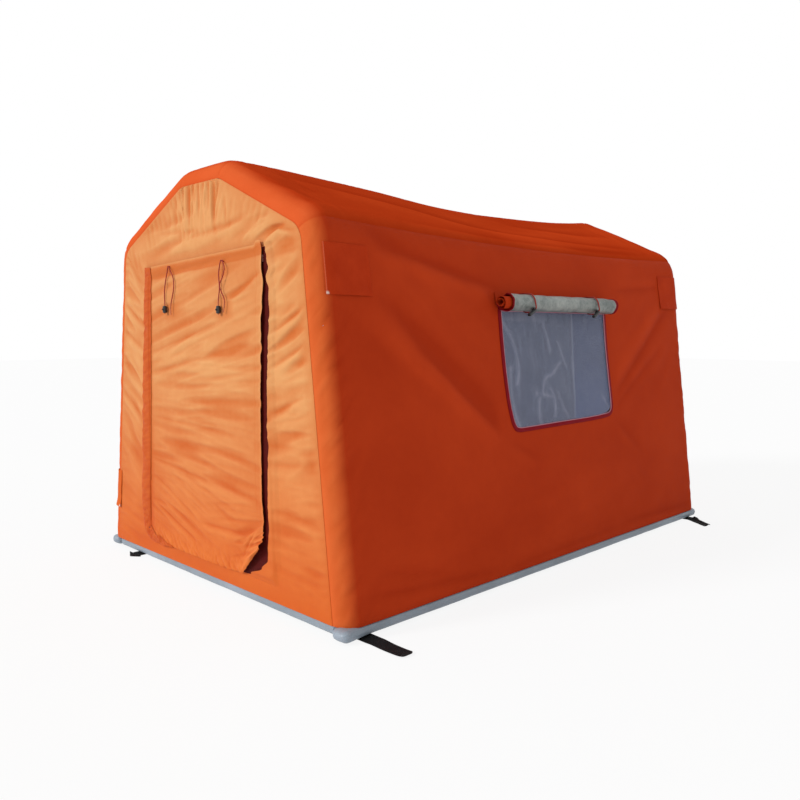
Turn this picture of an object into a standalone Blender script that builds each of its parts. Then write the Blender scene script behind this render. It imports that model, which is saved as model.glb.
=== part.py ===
"""Inflatable tent with two air arches, a sewn cover, a roll-up door and a rolled window blind.

The door faces -Y and the window wall faces +X. Z is up, and the origin is the middle of the groundsheet's
underside. Sizes are in metres.
"""
import math

import bmesh
import bpy
from mathutils import Matrix, Vector

# Overall frame: the arch centreline is a leg, a slope and a flat top, mirrored.
TENT_LENGTH = 3.0
FOOT_HALF = 0.928
EAVE_HALF = 0.740
EAVE_HEIGHT = 1.603
TOP_HALF = 0.160
TOP_HEIGHT = 1.865
EAVE_BEND = 0.100
SHOULDER_BEND = 0.130
ARCH_RADIUS = 0.083
BASE_WIDTH = 0.090
BASE_HEIGHT = 0.052
BASE_OVERHANG = 0.006

# Sheets and clearances.
FIT = 0.0003
CLOTH = 0.004
FLOOR = 0.004
ROOF_SAG = 0.062
EAVE_SAG = 0.042
WALL_SAG = 0.014

# Door.
DOOR_TOP = 1.520
DOOR_FOOT = 0.150
DOOR_TOP_HALF = 0.470
DOOR_FOOT_HALF = 0.520
DOOR_LAP = 0.012
DOOR_HEM_DROP = 0.022
DOOR_FOLD = 0.011
CURL_SIDE_SHARE = 0.70
CURL_FOOT_SHARE = 0.93
CURL_OUT = 0.018
CURL_UP = 0.030
MID_WALL_SHARE = 0.72
PLACKET_WIDTH = 0.044
PLACKET_STAND = 0.014
PLACKET_SHEET = 0.002
PLACKET_EDGE = 0.003
ZIP_WIDTH = 0.014
ZIP_CHAIN = 0.004
ZIP_SETBACK = 0.008
SLIDER_LENGTH = 0.028
SLIDER_WIDTH = 0.012

# Window.
WINDOW_FRONT = -0.400
WINDOW_REAR = 0.560
WINDOW_FOOT = 0.712
WINDOW_TOP = 1.290
BINDING_WIDTH = 0.024
BINDING_STAND = 0.003
FILM = 0.0015
ROLL_FRONT = -0.412
ROLL_REAR = 0.640
ROLL_RADIUS = 0.047
ROLL_TURNS = 2.9
ROLL_SEAM_HEIGHT = 1.3825
ROLL_DROP = 0.052
BLIND_CLOTH = 0.003

# Ties and their cord locks.
CORD = 0.005
DOOR_TIE_LEFT = -0.262
DOOR_TIE_RIGHT = 0.206
DOOR_TIE_HEIGHT = 1.500
ROLL_TIE_FRONT = -0.222
ROLL_TIE_REAR = 0.358
LOCK_RADIUS = 0.0100
DOOR_LOCK_LENGTH = 0.034
BLIND_LOCK_LENGTH = 0.022
BLIND_LOCK_TURN = 50
LOCK_BORE = 0.0034
BUTTON_RADIUS = 0.0042
BUTTON_LENGTH = 0.0065
BUTTON_POCKET = 0.0042
BUTTON_CHAMFER = 0.001
LOCK_CHAMFER = 0.003

# Valves in the beams and the flaps over them.
VALVE_SOCKET = 0.0263
VALVE_BARREL = 0.0220
VALVE_SIDE_GAP = 0.0004
VALVE_DEPTH = 0.030
VALVE_FLANGE = 0.004
VALVE_BORE = 0.0125
VALVE_FLOOR = 0.006
POPPET_LENGTH = 0.014
POPPET_DISC = 0.005
POPPET_CHAMFER = 0.0015
POPPET_STEM_SHARE = 0.4
CAP_SIDE_GAP = 0.001
CAP_CHAMFER = 0.002
CAP_HEIGHT = 0.0094
WALL_HOLE = 0.029
FLAP_WIDTH = 0.235
FLAP_HEIGHT = 0.205
UPPER_FLAP_GAP = 0.0045
LOWER_FLAP_HEIGHT = 0.335
FLAP_SHIFT = 0.070
FLAP_STAND = 0.0008

# Ground straps.
STRAP_WIDTH = 0.076
STRAP_THICK = 0.0030
STRAP_REACH = 0.228
REAR_STRAP_REACH = 0.165
FRONT_TAB_REACH = 0.050
STRAP_SETBACK = 0.105
FRONT_TAB_INSET = 0.215
STRAP_LIFT = 0.0005
ROOT_OVERRUN = 0.006

# Fineness of the round forms.
BEAM_SIDES = 16
BEND_STEPS = 4
TURNED_SIDES = 20

# Sizes that follow from the ones above.
COVER_RADIUS = ARCH_RADIUS + FIT + CLOTH
ARCH_Y = TENT_LENGTH / 2 - COVER_RADIUS
FRONT_Y = TENT_LENGTH / 2
BASE_TOP = FLOOR + FIT + BASE_HEIGHT
HEM = BASE_TOP + FIT
LEAN = math.atan2(FOOT_HALF - EAVE_HALF, EAVE_HEIGHT)
LEG_SPREAD = 1 / math.cos(LEAN)

for old in list(bpy.data.objects):
    bpy.data.objects.remove(old, do_unlink=True)


def finish(name, colour, roughness, metallic=0.0):
    """A plain material of the part's own colour."""
    made = bpy.data.materials.new(name)
    made.use_nodes = True
    shader = made.node_tree.nodes["Principled BSDF"]
    shader.inputs["Base Color"].default_value = (*colour, 1.0)
    shader.inputs["Roughness"].default_value = roughness
    shader.inputs["Metallic"].default_value = metallic
    return made


ORANGE = finish("orange_oxford", (0.75, 0.16, 0.04), 0.6)
GREY_PVC = finish("grey_pvc", (0.42, 0.50, 0.56), 0.45)
BLACK_WEBBING = finish("black_webbing", (0.02, 0.02, 0.025), 0.8)
RED_BINDING = finish("red_binding", (0.20, 0.01, 0.015), 0.6)
GREY_NET = finish("grey_net", (0.20, 0.24, 0.34), 0.7)
CLEAR_FILM = finish("clear_film", (0.70, 0.74, 0.78), 0.15)
SILVER_LINING = finish("silver_lining", (0.42, 0.44, 0.42), 0.35)
RED_ELASTIC = finish("red_elastic", (0.28, 0.015, 0.015), 0.7)
BLACK_PLASTIC = finish("black_plastic", (0.015, 0.015, 0.018), 0.4)
ZIP_BROWN = finish("zip_tape", (0.10, 0.02, 0.015), 0.6)


def add_object(name, mesh, material, smooth_angle=None):
    """Link a mesh as a named object with its material."""
    mesh.materials.append(material)
    made = bpy.data.objects.new(name, mesh)
    bpy.context.collection.objects.link(made)
    if smooth_angle:
        mesh.shade_smooth()
        mesh.set_sharp_from_angle(angle=math.radians(smooth_angle))
    return made


def closed_mesh(name, shape):
    """Turn a closed bmesh into a mesh whose faces point out."""
    bmesh.ops.recalc_face_normals(shape, faces=shape.faces)
    mesh = bpy.data.meshes.new(name)
    shape.to_mesh(mesh)
    shape.free()
    return mesh


def sheet(name, rows, columns, point, thickness, material, skip=None, smooth_angle=35):
    """A thin closed sheet over a grid: point(row, column, out) gives its outer face at out = 0."""
    shape = bmesh.new()
    outer = [[shape.verts.new(point(r, c, 0.0)) for c in columns] for r in rows]
    inner = [[shape.verts.new(point(r, c, -thickness)) for c in columns] for r in rows]
    kept = set()
    for i in range(len(rows) - 1):
        for j in range(len(columns) - 1):
            if skip is None or not skip(i, j):
                kept.add((i, j))
    edges = {}
    for i, j in kept:
        loop = ((i, j), (i, j + 1), (i + 1, j + 1), (i + 1, j))
        shape.faces.new([outer[a][b] for a, b in loop])
        shape.faces.new([inner[a][b] for a, b in reversed(loop)])
        for k in range(4):
            start, end = loop[k], loop[(k + 1) % 4]
            if (end, start) in edges:
                del edges[(end, start)]
            else:
                edges[(start, end)] = True
    for (a, b), (c, d) in edges:
        shape.faces.new([outer[c][d], outer[a][b], inner[a][b], inner[c][d]])
    for vert in [v for v in shape.verts if not v.link_faces]:
        shape.verts.remove(vert)
    return add_object(name, closed_mesh(name, shape), material, smooth_angle)


def block(name, corner, far_corner, material, place=Matrix()):
    """A box between two corners, moved by a matrix."""
    shape = bmesh.new()
    bmesh.ops.create_cube(shape, size=1.0)
    low, high = Vector(corner), Vector(far_corner)
    bmesh.ops.scale(shape, vec=high - low, verts=shape.verts)
    bmesh.ops.translate(shape, vec=(low + high) / 2, verts=shape.verts)
    bmesh.ops.transform(shape, matrix=place, verts=shape.verts)
    return add_object(name, closed_mesh(name, shape), material)


def lofted(name, rings, material, smooth_angle=40):
    """A closed body through rings of points, with flat ends."""
    shape = bmesh.new()
    loops = [[shape.verts.new(p) for p in ring] for ring in rings]
    count = len(loops[0])
    for near, far in zip(loops, loops[1:]):
        for k in range(count):
            shape.faces.new([near[k], near[(k + 1) % count], far[(k + 1) % count], far[k]])
    shape.faces.new(loops[0])
    shape.faces.new(list(reversed(loops[-1])))
    return add_object(name, closed_mesh(name, shape), material, smooth_angle)


def turned(name, profile, place, material, lobes=0, lobe_depth=0.0):
    """A turned body: profile is (radius, height) from the axis, round the section and back to the axis."""
    shape = bmesh.new()
    rings = []
    for radius, height in profile:
        if radius == 0:
            rings.append([shape.verts.new((0, 0, height))])
            continue
        ring = []
        for k in range(TURNED_SIDES):
            angle = 2 * math.pi * k / TURNED_SIDES
            grown = radius * (1 - lobe_depth * (0.5 + 0.5 * math.cos(lobes * angle)) if lobes else 1)
            ring.append(shape.verts.new((grown * math.cos(angle), grown * math.sin(angle), height)))
        rings.append(ring)
    for near, far in zip(rings, rings[1:]):
        for k in range(TURNED_SIDES):
            after = (k + 1) % TURNED_SIDES
            corners = [near[k % len(near)], near[after % len(near)],
                       far[after % len(far)], far[k % len(far)]]
            shape.faces.new(list(dict.fromkeys(corners)))
    bmesh.ops.transform(shape, matrix=place, verts=shape.verts)
    return add_object(name, closed_mesh(name, shape), material, 40)


def cut(target, cutter):
    """Cut one body out of another and drop the cutter."""
    tool = target.modifiers.new("cut", "BOOLEAN")
    tool.object = cutter
    tool.operation = "DIFFERENCE"
    bpy.context.view_layer.update()
    seen = target.evaluated_get(bpy.context.evaluated_depsgraph_get())
    mesh = bpy.data.meshes.new_from_object(seen)
    target.modifiers.clear()
    target.data = mesh
    bpy.data.objects.remove(cutter, do_unlink=True)


def cord(name, points, material, steps=None):
    """A cord as a round tube on a smooth curve through its route's points."""
    count = steps or 2 * len(points)
    line = []
    last = len(points) - 1
    for k in range(count + 1):
        place = k / count * last
        at = min(int(place), last - 1)
        t = place - at
        before, start = Vector(points[max(at - 1, 0)]), Vector(points[at])
        end, after = Vector(points[at + 1]), Vector(points[min(at + 2, last)])
        line.append(0.5 * (2 * start + (end - before) * t
                           + (2 * before - 5 * start + 4 * end - after) * t * t
                           + (3 * start - before - 3 * end + after) * t ** 3))
    curve = bpy.data.curves.new(name, "CURVE")
    curve.dimensions = "3D"
    curve.bevel_depth = CORD / 2
    curve.bevel_resolution = 2
    curve.use_fill_caps = True
    spline = curve.splines.new("POLY")
    spline.points.add(len(line) - 1)
    for made, point in zip(spline.points, line):
        made.co = (*point, 1.0)
    curve.materials.append(material)
    made = bpy.data.objects.new(name, curve)
    bpy.context.collection.objects.link(made)
    return made


def aimed(origin, direction, across=(0, 1, 0)):
    """A matrix that puts local Z along a direction and local Y near another."""
    up = Vector(direction).normalized()
    side = (Vector(across) - up * up.dot(Vector(across))).normalized()
    turn = Matrix((side.cross(up), side, up)).transposed().to_4x4()
    return Matrix.Translation(Vector(origin)) @ turn


# Arch centreline. A station is (x, z, spread x, spread z, sag): a point of it and the way out of it.
def leg_station(z, sag):
    """A level station on the leaning right leg."""
    return (FOOT_HALF - math.tan(LEAN) * z, z, LEG_SPREAD, 0.0, sag)


def bend_stations(corner, before, after, radius, sag):
    """Stations round one bend of the centreline, tangent to both of its straight runs."""
    into = (Vector(corner) - Vector(before)).normalized()
    out = (Vector(after) - Vector(corner)).normalized()
    turn = into.angle(out)
    start = Vector(corner) - into * radius * math.tan(turn / 2)
    first = Vector((into.y, -into.x))
    centre = start - first * radius
    base = math.atan2(first.y, first.x)
    made = []
    for k in range(BEND_STEPS + 1):
        angle = base + turn * k / BEND_STEPS
        way = Vector((math.cos(angle), math.sin(angle)))
        spot = centre + way * radius
        made.append((spot.x, spot.y, way.x, way.y, sag))
    return made


FOOT_POINT = (FOOT_HALF, 0.0)
EAVE_POINT = (EAVE_HALF, EAVE_HEIGHT)
SHOULDER_POINT = (TOP_HALF, TOP_HEIGHT)
CROWN_POINT = (0.0, TOP_HEIGHT)
EAVE = bend_stations(EAVE_POINT, FOOT_POINT, SHOULDER_POINT, EAVE_BEND, EAVE_SAG)
SHOULDER = bend_stations(SHOULDER_POINT, EAVE_POINT, CROWN_POINT, SHOULDER_BEND, ROOF_SAG)
MID_BEND = BEND_STEPS // 2


def wall_station(z):
    """A level station of a side wall, which sags inwards most beside the window and at the eave."""
    knots = ((HEM, 0.0), (WINDOW_FOOT, WALL_SAG), (WINDOW_TOP, WALL_SAG), (EAVE[0][1], EAVE_SAG))
    for (low, first), (high, second) in zip(knots, knots[1:]):
        if z <= high:
            break
    return leg_station(z, first + (second - first) * (z - low) / (high - low))


def mirrored(stations):
    """The same stations on the left half, in reverse order."""
    return [(-x, z, -sx, sz, sag) for x, z, sx, sz, sag in reversed(stations)]


CROWN = (0.0, TOP_HEIGHT, 0.0, 1.0, ROOF_SAG)
HALF_ARCH = [leg_station(HEM, 0.0), *EAVE, *SHOULDER]
FULL_ARCH = [*HALF_ARCH, CROWN, *mirrored(HALF_ARCH)]

# Stations along the tent's length are (y, wrap angle): round the front arch, along, round the rear arch.
WRAP_STEPS = BEAM_SIDES // 4
QUARTER = math.pi / 2
FRONT_WRAP = [(-ARCH_Y, -QUARTER * (WRAP_STEPS - k) / WRAP_STEPS) for k in range(WRAP_STEPS + 1)]
REAR_WRAP = [(ARCH_Y, QUARTER * k / WRAP_STEPS) for k in range(WRAP_STEPS + 1)]


def span(*inner):
    """Length stations with the given places between the arches."""
    return [*FRONT_WRAP, *((y, 0.0) for y in inner), *REAR_WRAP]


def cover_point(station, along, out):
    """A point of the cover: wrapped round an arch at its ends, and sagging between the arches."""
    x, z, spread_x, spread_z, sag = station
    y, wrap = along
    depth = (COVER_RADIUS + out) * math.cos(wrap) - sag * (1 - (y / ARCH_Y) ** 2)
    return Vector((x + spread_x * depth, y + math.sin(wrap) * (COVER_RADIUS + out), z + spread_z * depth))


def cover_sheet(name, stations, lengths, skip=None, material=ORANGE, thickness=CLOTH, out=0.0):
    """One sewn panel of the cover."""
    def place(station, along, depth):
        return cover_point(station, along, depth + out)
    return sheet(name, stations, lengths, place, thickness, material, skip)


def nudged(stations, first=0.0, last=0.0):
    """Stations whose first or last point is drawn back along the path by a seam's clearance."""
    made = list(stations)
    for index, other, gap in ((0, 1, first), (-1, -2, last)):
        if gap:
            start, towards = Vector(made[index][:2]), Vector(made[other][:2])
            moved = start + (towards - start).normalized() * gap
            made[index] = (moved.x, moved.y, *made[index][2:])
    return made


# Air frame: two arches standing on a ring of low oval beams.
def arch_beam(name, y):
    rings = []
    for x, z, spread_x, spread_z, _ in FULL_ARCH:
        ring = []
        for k in range(BEAM_SIDES):
            angle = 2 * math.pi * k / BEAM_SIDES
            depth = ARCH_RADIUS * math.cos(angle)
            ring.append((x + spread_x * depth, y + ARCH_RADIUS * math.sin(angle), z + spread_z * depth))
        rings.append(ring)
    return lofted(name, rings, GREY_PVC)


def oval_ring(scale):
    """The section of a base beam, flat on top and underneath, in its own plane."""
    side = BASE_HEIGHT / 2
    flat = BASE_WIDTH / 2 - side
    ring = []
    for centre, start in ((flat, -90), (-flat, 90)):
        for k in range(6):
            angle = math.radians(start + 36 * k)
            ring.append((scale * (centre + side * math.cos(angle)), scale * side * math.sin(angle)))
    return ring


def base_beam(name, centre, half_length, along_y, domed):
    """One beam of the base ring; the long ones end in domes and the short ones butt between them."""
    ends = ((0.0, 0.40), (0.010, 0.78), (0.028, 1.0)) if domed else ((0.0, 1.0),)
    places = [(-half_length + inset, scale) for inset, scale in ends]
    places += [(half_length - inset, scale) for inset, scale in reversed(ends)]
    middle = FLOOR + FIT + BASE_HEIGHT / 2
    rings = []
    for at, scale in places:
        ring = []
        for across, up in oval_ring(scale):
            if along_y:
                ring.append((centre + across, at, middle + up))
            else:
                ring.append((at, centre + across, middle + up))
        rings.append(ring)
    return lofted(name, rings, GREY_PVC)


COVER_FOOT = FOOT_HALF - math.tan(LEAN) * HEM + LEG_SPREAD * COVER_RADIUS
SIDE_BEAM_X = COVER_FOOT + BASE_OVERHANG - BASE_WIDTH / 2
END_BEAM_Y = FRONT_Y - BASE_WIDTH / 2 - BASE_OVERHANG
END_BEAM_HALF = SIDE_BEAM_X - BASE_WIDTH / 2 - FIT
FLOOR_X = SIDE_BEAM_X
FLOOR_Y = END_BEAM_Y

front_arch = arch_beam("front_arch_beam", -ARCH_Y)
rear_arch = arch_beam("rear_arch_beam", ARCH_Y)
base_beam("right_base_beam", SIDE_BEAM_X, FRONT_Y, True, True)
base_beam("left_base_beam", -SIDE_BEAM_X, FRONT_Y, True, True)
base_beam("front_base_beam", -END_BEAM_Y, END_BEAM_HALF, False, False)
base_beam("rear_base_beam", END_BEAM_Y, END_BEAM_HALF, False, False)
block("groundsheet", (-FLOOR_X, -FLOOR_Y, 0), (FLOOR_X, FLOOR_Y, FLOOR), GREY_PVC)

# Side walls. The right one has the window's hole.
WALL_TOP = nudged(EAVE[:MID_BEND + 1], last=FIT)
UPPER_FLAP_HEIGHT = EAVE[0][1] - UPPER_FLAP_GAP - FLAP_HEIGHT / 2
WINDOW_HEIGHTS = (WINDOW_FOOT, (WINDOW_FOOT + WINDOW_TOP) / 2, WINDOW_TOP)


def flap_rows(z):
    """The levels of a flap, which its wall shares so that the two sheets lie alike."""
    return [wall_station(z + FLAP_HEIGHT * (k / 3 - 0.5)) for k in range(4)]


RIGHT_ROWS = [*(wall_station(z) for z in (HEM, WINDOW_FOOT / 2, *WINDOW_HEIGHTS)),
              *flap_rows(UPPER_FLAP_HEIGHT), *WALL_TOP]
WINDOW_LENGTHS = (WINDOW_FRONT, (WINDOW_FRONT + WINDOW_REAR) / 2, WINDOW_REAR)
FLAP_END = ARCH_Y - FLAP_WIDTH / 2 - FLAP_SHIFT
RIGHT_LENGTHS = span(-FLAP_END, (WINDOW_FRONT - FLAP_END) / 2, *WINDOW_LENGTHS,
                     (WINDOW_REAR + FLAP_END) / 2, FLAP_END)
FIRST_WINDOW_COLUMN = len(FRONT_WRAP) + 2
right_wall = cover_sheet("right_wall", RIGHT_ROWS, RIGHT_LENGTHS,
                         lambda i, j: i in (2, 3) and FIRST_WINDOW_COLUMN <= j < FIRST_WINDOW_COLUMN + 2)
LEFT_ROWS = mirrored([wall_station(HEM), *flap_rows(LOWER_FLAP_HEIGHT), wall_station(WINDOW_FOOT),
                      wall_station(WINDOW_TOP), *WALL_TOP])
left_wall = cover_sheet("left_wall", LEFT_ROWS, span(-FLAP_END, -FLAP_END / 2, 0.0, FLAP_END / 2, FLAP_END))

# Roof: two slopes and the narrow top strip, sewn at mid bend.
SLOPE_MIDDLE = (*((Vector(EAVE[-1][:2]) + Vector(SHOULDER[0][:2])) / 2), *EAVE[-1][2:4], ROOF_SAG)
SLOPE = nudged([*EAVE[MID_BEND:], SLOPE_MIDDLE, *SHOULDER[:MID_BEND + 1]], FIT, FIT)
TOP_STRIP = nudged(SHOULDER[MID_BEND:], FIT)
ROOF_LENGTHS = span(-1.05, -0.7, -0.35, 0.0, 0.35, 0.7, 1.05)
cover_sheet("roof_right", SLOPE, ROOF_LENGTHS)
cover_sheet("roof_left", mirrored(SLOPE), ROOF_LENGTHS)
cover_sheet("roof_top", [*TOP_STRIP, *mirrored(TOP_STRIP)], ROOF_LENGTHS)


# End walls: flat panels inside the arch's front line. The front one has the doorway.
def door_half(z):
    """Half the doorway's width, which widens towards the ground like the tent."""
    return DOOR_FOOT_HALF + (DOOR_TOP_HALF - DOOR_FOOT_HALF) * (z - DOOR_FOOT) / (DOOR_TOP - DOOR_FOOT)


def end_row(station):
    """Height and half width of an end wall at a station, a seam's clearance inside the cover."""
    x, z, spread_x, spread_z, _ = station
    return (z - spread_z * FIT, x - spread_x * FIT)


FRONT_LEG = [leg_station(z, 0.0) for z in (HEM, DOOR_FOOT, (DOOR_FOOT + DOOR_TOP) / 2, DOOR_TOP)]
FRONT_ROWS = [end_row(s) for s in [*FRONT_LEG, *EAVE, *SHOULDER]]
END_COLUMNS = (-3, -2, -1, 0, 1, 2, 3)


def end_point(side):
    """Points of an end wall: columns 1 and 2 follow the doorway's edge and the mid wall."""
    def place(row, column, out):
        z, half = row
        edge = min(door_half(z), MID_WALL_SHARE * half)
        across = (0, edge, (edge + half) / 2, half)[abs(column)]
        return Vector((math.copysign(across, column), side * (FRONT_Y + out), z))
    return place


sheet("front_wall", FRONT_ROWS, END_COLUMNS, end_point(-1), CLOTH, ORANGE,
      lambda i, j: i in (1, 2) and j in (2, 3))
sheet("rear_wall", FRONT_ROWS, END_COLUMNS, end_point(1), CLOTH, ORANGE)

# Door: one hanging sheet in front of the doorway, with its slanting folds and the curled lower corner.
DOOR_BACK = FRONT_Y + FIT
DOOR_HIGH = DOOR_TOP + DOOR_LAP
DOOR_LOW = DOOR_FOOT - DOOR_HEM_DROP
DOOR_ROWS = 22
DOOR_COLUMNS = 20


def door_fold(s, t):
    """How far the cloth stands out: s runs from left to right and t from the top down, both 0 to 1."""
    slant = 0.5 + 0.5 * math.sin(2 * math.pi * (3.3 * t + 1.3 * s))
    gather = 0.5 + 0.5 * math.sin(2 * math.pi * 2.5 * s + 1.0)
    fade = math.sin(math.pi * min(t * 1.6, 1.0) / 2) * (1 - 0.6 * (2 * s - 1) ** 2)
    return DOOR_FOLD * fade * (0.65 * slant + 0.35 * gather * t)


def door_curl(s, t):
    """The lower right corner turns up and out."""
    across = max(0.0, s - CURL_SIDE_SHARE) / (1 - CURL_SIDE_SHARE)
    down = max(0.0, t - CURL_FOOT_SHARE) / (1 - CURL_FOOT_SHARE)
    return across * down


def door_point(row, column, out):
    t, s = row / DOOR_ROWS, column / DOOR_COLUMNS
    z = DOOR_HIGH + (DOOR_LOW - DOOR_HIGH) * t
    x = (2 * s - 1) * (door_half(z) + DOOR_LAP)
    curl = door_curl(s, t)
    stand = DOOR_BACK + CLOTH + door_fold(s, t) + CURL_OUT * curl
    return Vector((x, -(stand + out), z + CURL_UP * curl))


sheet("door_panel", range(DOOR_ROWS + 1), range(DOOR_COLUMNS + 1), door_point, CLOTH, ORANGE)

# Door zips: on each side a tape with a raised chain, a slider on the chain and a placket folded over both.
ZIP_LEAN = math.atan2(DOOR_FOOT_HALF - DOOR_TOP_HALF, DOOR_TOP - DOOR_FOOT)
ZIP_LENGTH = (DOOR_TOP - DOOR_FOOT) / math.cos(ZIP_LEAN)


def zip_frame(side):
    """Local X runs away from the door, Y out of the wall and Z up the zip, from its lower end."""
    up = Vector((-side * math.sin(ZIP_LEAN), 0, math.cos(ZIP_LEAN)))
    away = Vector((side * math.cos(ZIP_LEAN), 0, math.sin(ZIP_LEAN)))
    start = Vector((side * (DOOR_FOOT_HALF + DOOR_LAP), -(FRONT_Y + FIT), DOOR_FOOT))
    return Matrix((away, Vector((0, -1, 0)), up)).transposed().to_4x4(), start


def extruded(name, outline, low, high, place, material):
    """A prism: the outline lies in local X and Y and runs up local Z."""
    rings = [[place @ Vector((x, y, z)) for x, y in outline] for z in (low, high)]
    return lofted(name, rings, material, None)


TAPE = 0.0012
CHAIN_STAND = 0.0036
SLIDER_SKIRT = 0.0028
SLIDER_STAND = 0.0090
SLIDER_END_GAP = 0.012
for side, label in ((-1, "left"), (1, "right")):
    turn, start = zip_frame(side)
    frame = Matrix.Translation(start) @ turn
    middle = ZIP_SETBACK + ZIP_WIDTH / 2
    chain = ZIP_CHAIN / 2
    tape = [(ZIP_SETBACK, 0), (ZIP_SETBACK + ZIP_WIDTH, 0), (ZIP_SETBACK + ZIP_WIDTH, TAPE),
            (middle + chain, TAPE), (middle + chain, CHAIN_STAND), (middle - chain, CHAIN_STAND),
            (middle - chain, TAPE), (ZIP_SETBACK, TAPE)]
    extruded(f"{label}_zip", tape, 0, ZIP_LENGTH, frame, ZIP_BROWN)
    inside, outside = chain + FIT, SLIDER_WIDTH / 2
    bridge = [(middle - outside, TAPE + FIT), (middle - inside, TAPE + FIT),
              (middle - inside, CHAIN_STAND + FIT), (middle + inside, CHAIN_STAND + FIT),
              (middle + inside, TAPE + FIT), (middle + outside, TAPE + FIT),
              (middle + outside, SLIDER_STAND - SLIDER_SKIRT),
              (middle + outside - SLIDER_SKIRT, SLIDER_STAND),
              (middle - outside + SLIDER_SKIRT, SLIDER_STAND),
              (middle - outside, SLIDER_STAND - SLIDER_SKIRT)]
    low = SLIDER_END_GAP if side < 0 else ZIP_LENGTH - SLIDER_END_GAP - SLIDER_LENGTH
    extruded(f"{label}_zip_slider", bridge, low, low + SLIDER_LENGTH, frame, BLACK_PLASTIC)
    edge = ZIP_SETBACK + ZIP_WIDTH + FIT
    far = PLACKET_WIDTH
    under = PLACKET_STAND - PLACKET_SHEET
    fold = [(far, 0), (far, PLACKET_STAND), (PLACKET_EDGE, PLACKET_STAND), (PLACKET_EDGE, under),
            (edge + PLACKET_SHEET, under), (edge + PLACKET_SHEET, 0)]
    extruded(f"{label}_placket", fold, -DOOR_HEM_DROP / 2, ZIP_LENGTH, frame, ORANGE)


# Window: net and clear film in the hole, a bound edge round it, and the blind rolled up above it.
def window_sheet(name, out, thickness, material, margin):
    rows = [wall_station(z) for z in (WINDOW_FOOT + margin, (WINDOW_FOOT + WINDOW_TOP) / 2,
                                      WINDOW_TOP - margin)]
    middle = (WINDOW_FRONT + WINDOW_REAR) / 2
    lengths = [(y, 0.0) for y in (WINDOW_FRONT + margin, middle, WINDOW_REAR - margin)]
    return cover_sheet(name, rows, lengths, None, material, thickness, out)


window_sheet("window_net", 0.0, FILM, GREY_NET, FIT)
window_sheet("window_film", -FILM - FIT, FILM, CLEAR_FILM, FIT)

BINDING_ROWS = [wall_station(z) for z in (
    WINDOW_FOOT - BINDING_WIDTH / 2, WINDOW_FOOT + BINDING_WIDTH / 2, (WINDOW_FOOT + WINDOW_TOP) / 2,
    WINDOW_TOP - BINDING_WIDTH / 2, WINDOW_TOP, WINDOW_TOP + BINDING_WIDTH / 2)]
BINDING_LENGTHS = [(y, 0.0) for y in (
    WINDOW_FRONT - BINDING_WIDTH / 2, WINDOW_FRONT + BINDING_WIDTH / 2, (WINDOW_FRONT + WINDOW_REAR) / 2,
    WINDOW_REAR - BINDING_WIDTH / 2, WINDOW_REAR + BINDING_WIDTH / 2)]
cover_sheet("window_binding", BINDING_ROWS, BINDING_LENGTHS, lambda i, j: i in (1, 2) and j in (1, 2),
            RED_BINDING, BINDING_STAND, BINDING_STAND + 2 * FIT)


def wall_frame(y, z):
    """At the right wall's outer face: local X runs along the tent, Y down the wall and Z out of it."""
    foot = cover_point(wall_station(z), (y, 0.0), 0.0)
    out = Vector((math.cos(LEAN), 0, math.sin(LEAN)))
    down = Vector((math.sin(LEAN), 0, -math.cos(LEAN)))
    return Matrix.Translation(foot) @ Matrix((Vector((0, -1, 0)), down, out)).transposed().to_4x4()


# The blind hangs from its seam, passes behind the roll and winds outwards and up, into the roll's middle.
ROLL_PITCH = BLIND_CLOTH + 0.0085
ROLL_ANGLE_STEP = math.radians(20)
ROLL_CLEAR = 0.001


def wall_depth(y, z):
    """How far the side wall has sagged in at a place."""
    return wall_station(z)[4] * (1 - (y / ARCH_Y) ** 2)


ROLL_END = max(-ROLL_FRONT, ROLL_REAR)
SEAM_DEPTH = wall_depth(0.0, ROLL_SEAM_HEIGHT)
SEAM_RISE = SEAM_DEPTH - wall_depth(ROLL_END, ROLL_SEAM_HEIGHT) + ROLL_CLEAR
ROLL_RISE = SEAM_DEPTH - wall_depth(ROLL_END, ROLL_SEAM_HEIGHT - ROLL_DROP - ROLL_RADIUS) + ROLL_CLEAR
ROLL_STANDOFF = ROLL_RADIUS + ROLL_RISE


def roll_line(offset):
    """The blind's section (down, out) from its seam to its inner edge, shifted to one of its faces."""
    line = [(0.0, SEAM_RISE + offset)]
    for k in range(int(ROLL_TURNS * 2 * math.pi / ROLL_ANGLE_STEP) + 1):
        turn = k * ROLL_ANGLE_STEP
        radius = ROLL_RADIUS - ROLL_PITCH * turn / (2 * math.pi) - offset
        line.append((ROLL_DROP + radius * math.sin(turn), ROLL_STANDOFF - radius * math.cos(turn)))
    return line


ROLL_OUTLINE = [*roll_line(0.0), *reversed(roll_line(BLIND_CLOTH))]
ROLL_PLACE = wall_frame(0.0, ROLL_SEAM_HEIGHT)
roll_rings = [[ROLL_PLACE @ Vector((-y, down, out)) for down, out in ROLL_OUTLINE]
              for y in (ROLL_FRONT, ROLL_REAR)]
lofted("window_blind", roll_rings, SILVER_LINING, 30)


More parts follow.
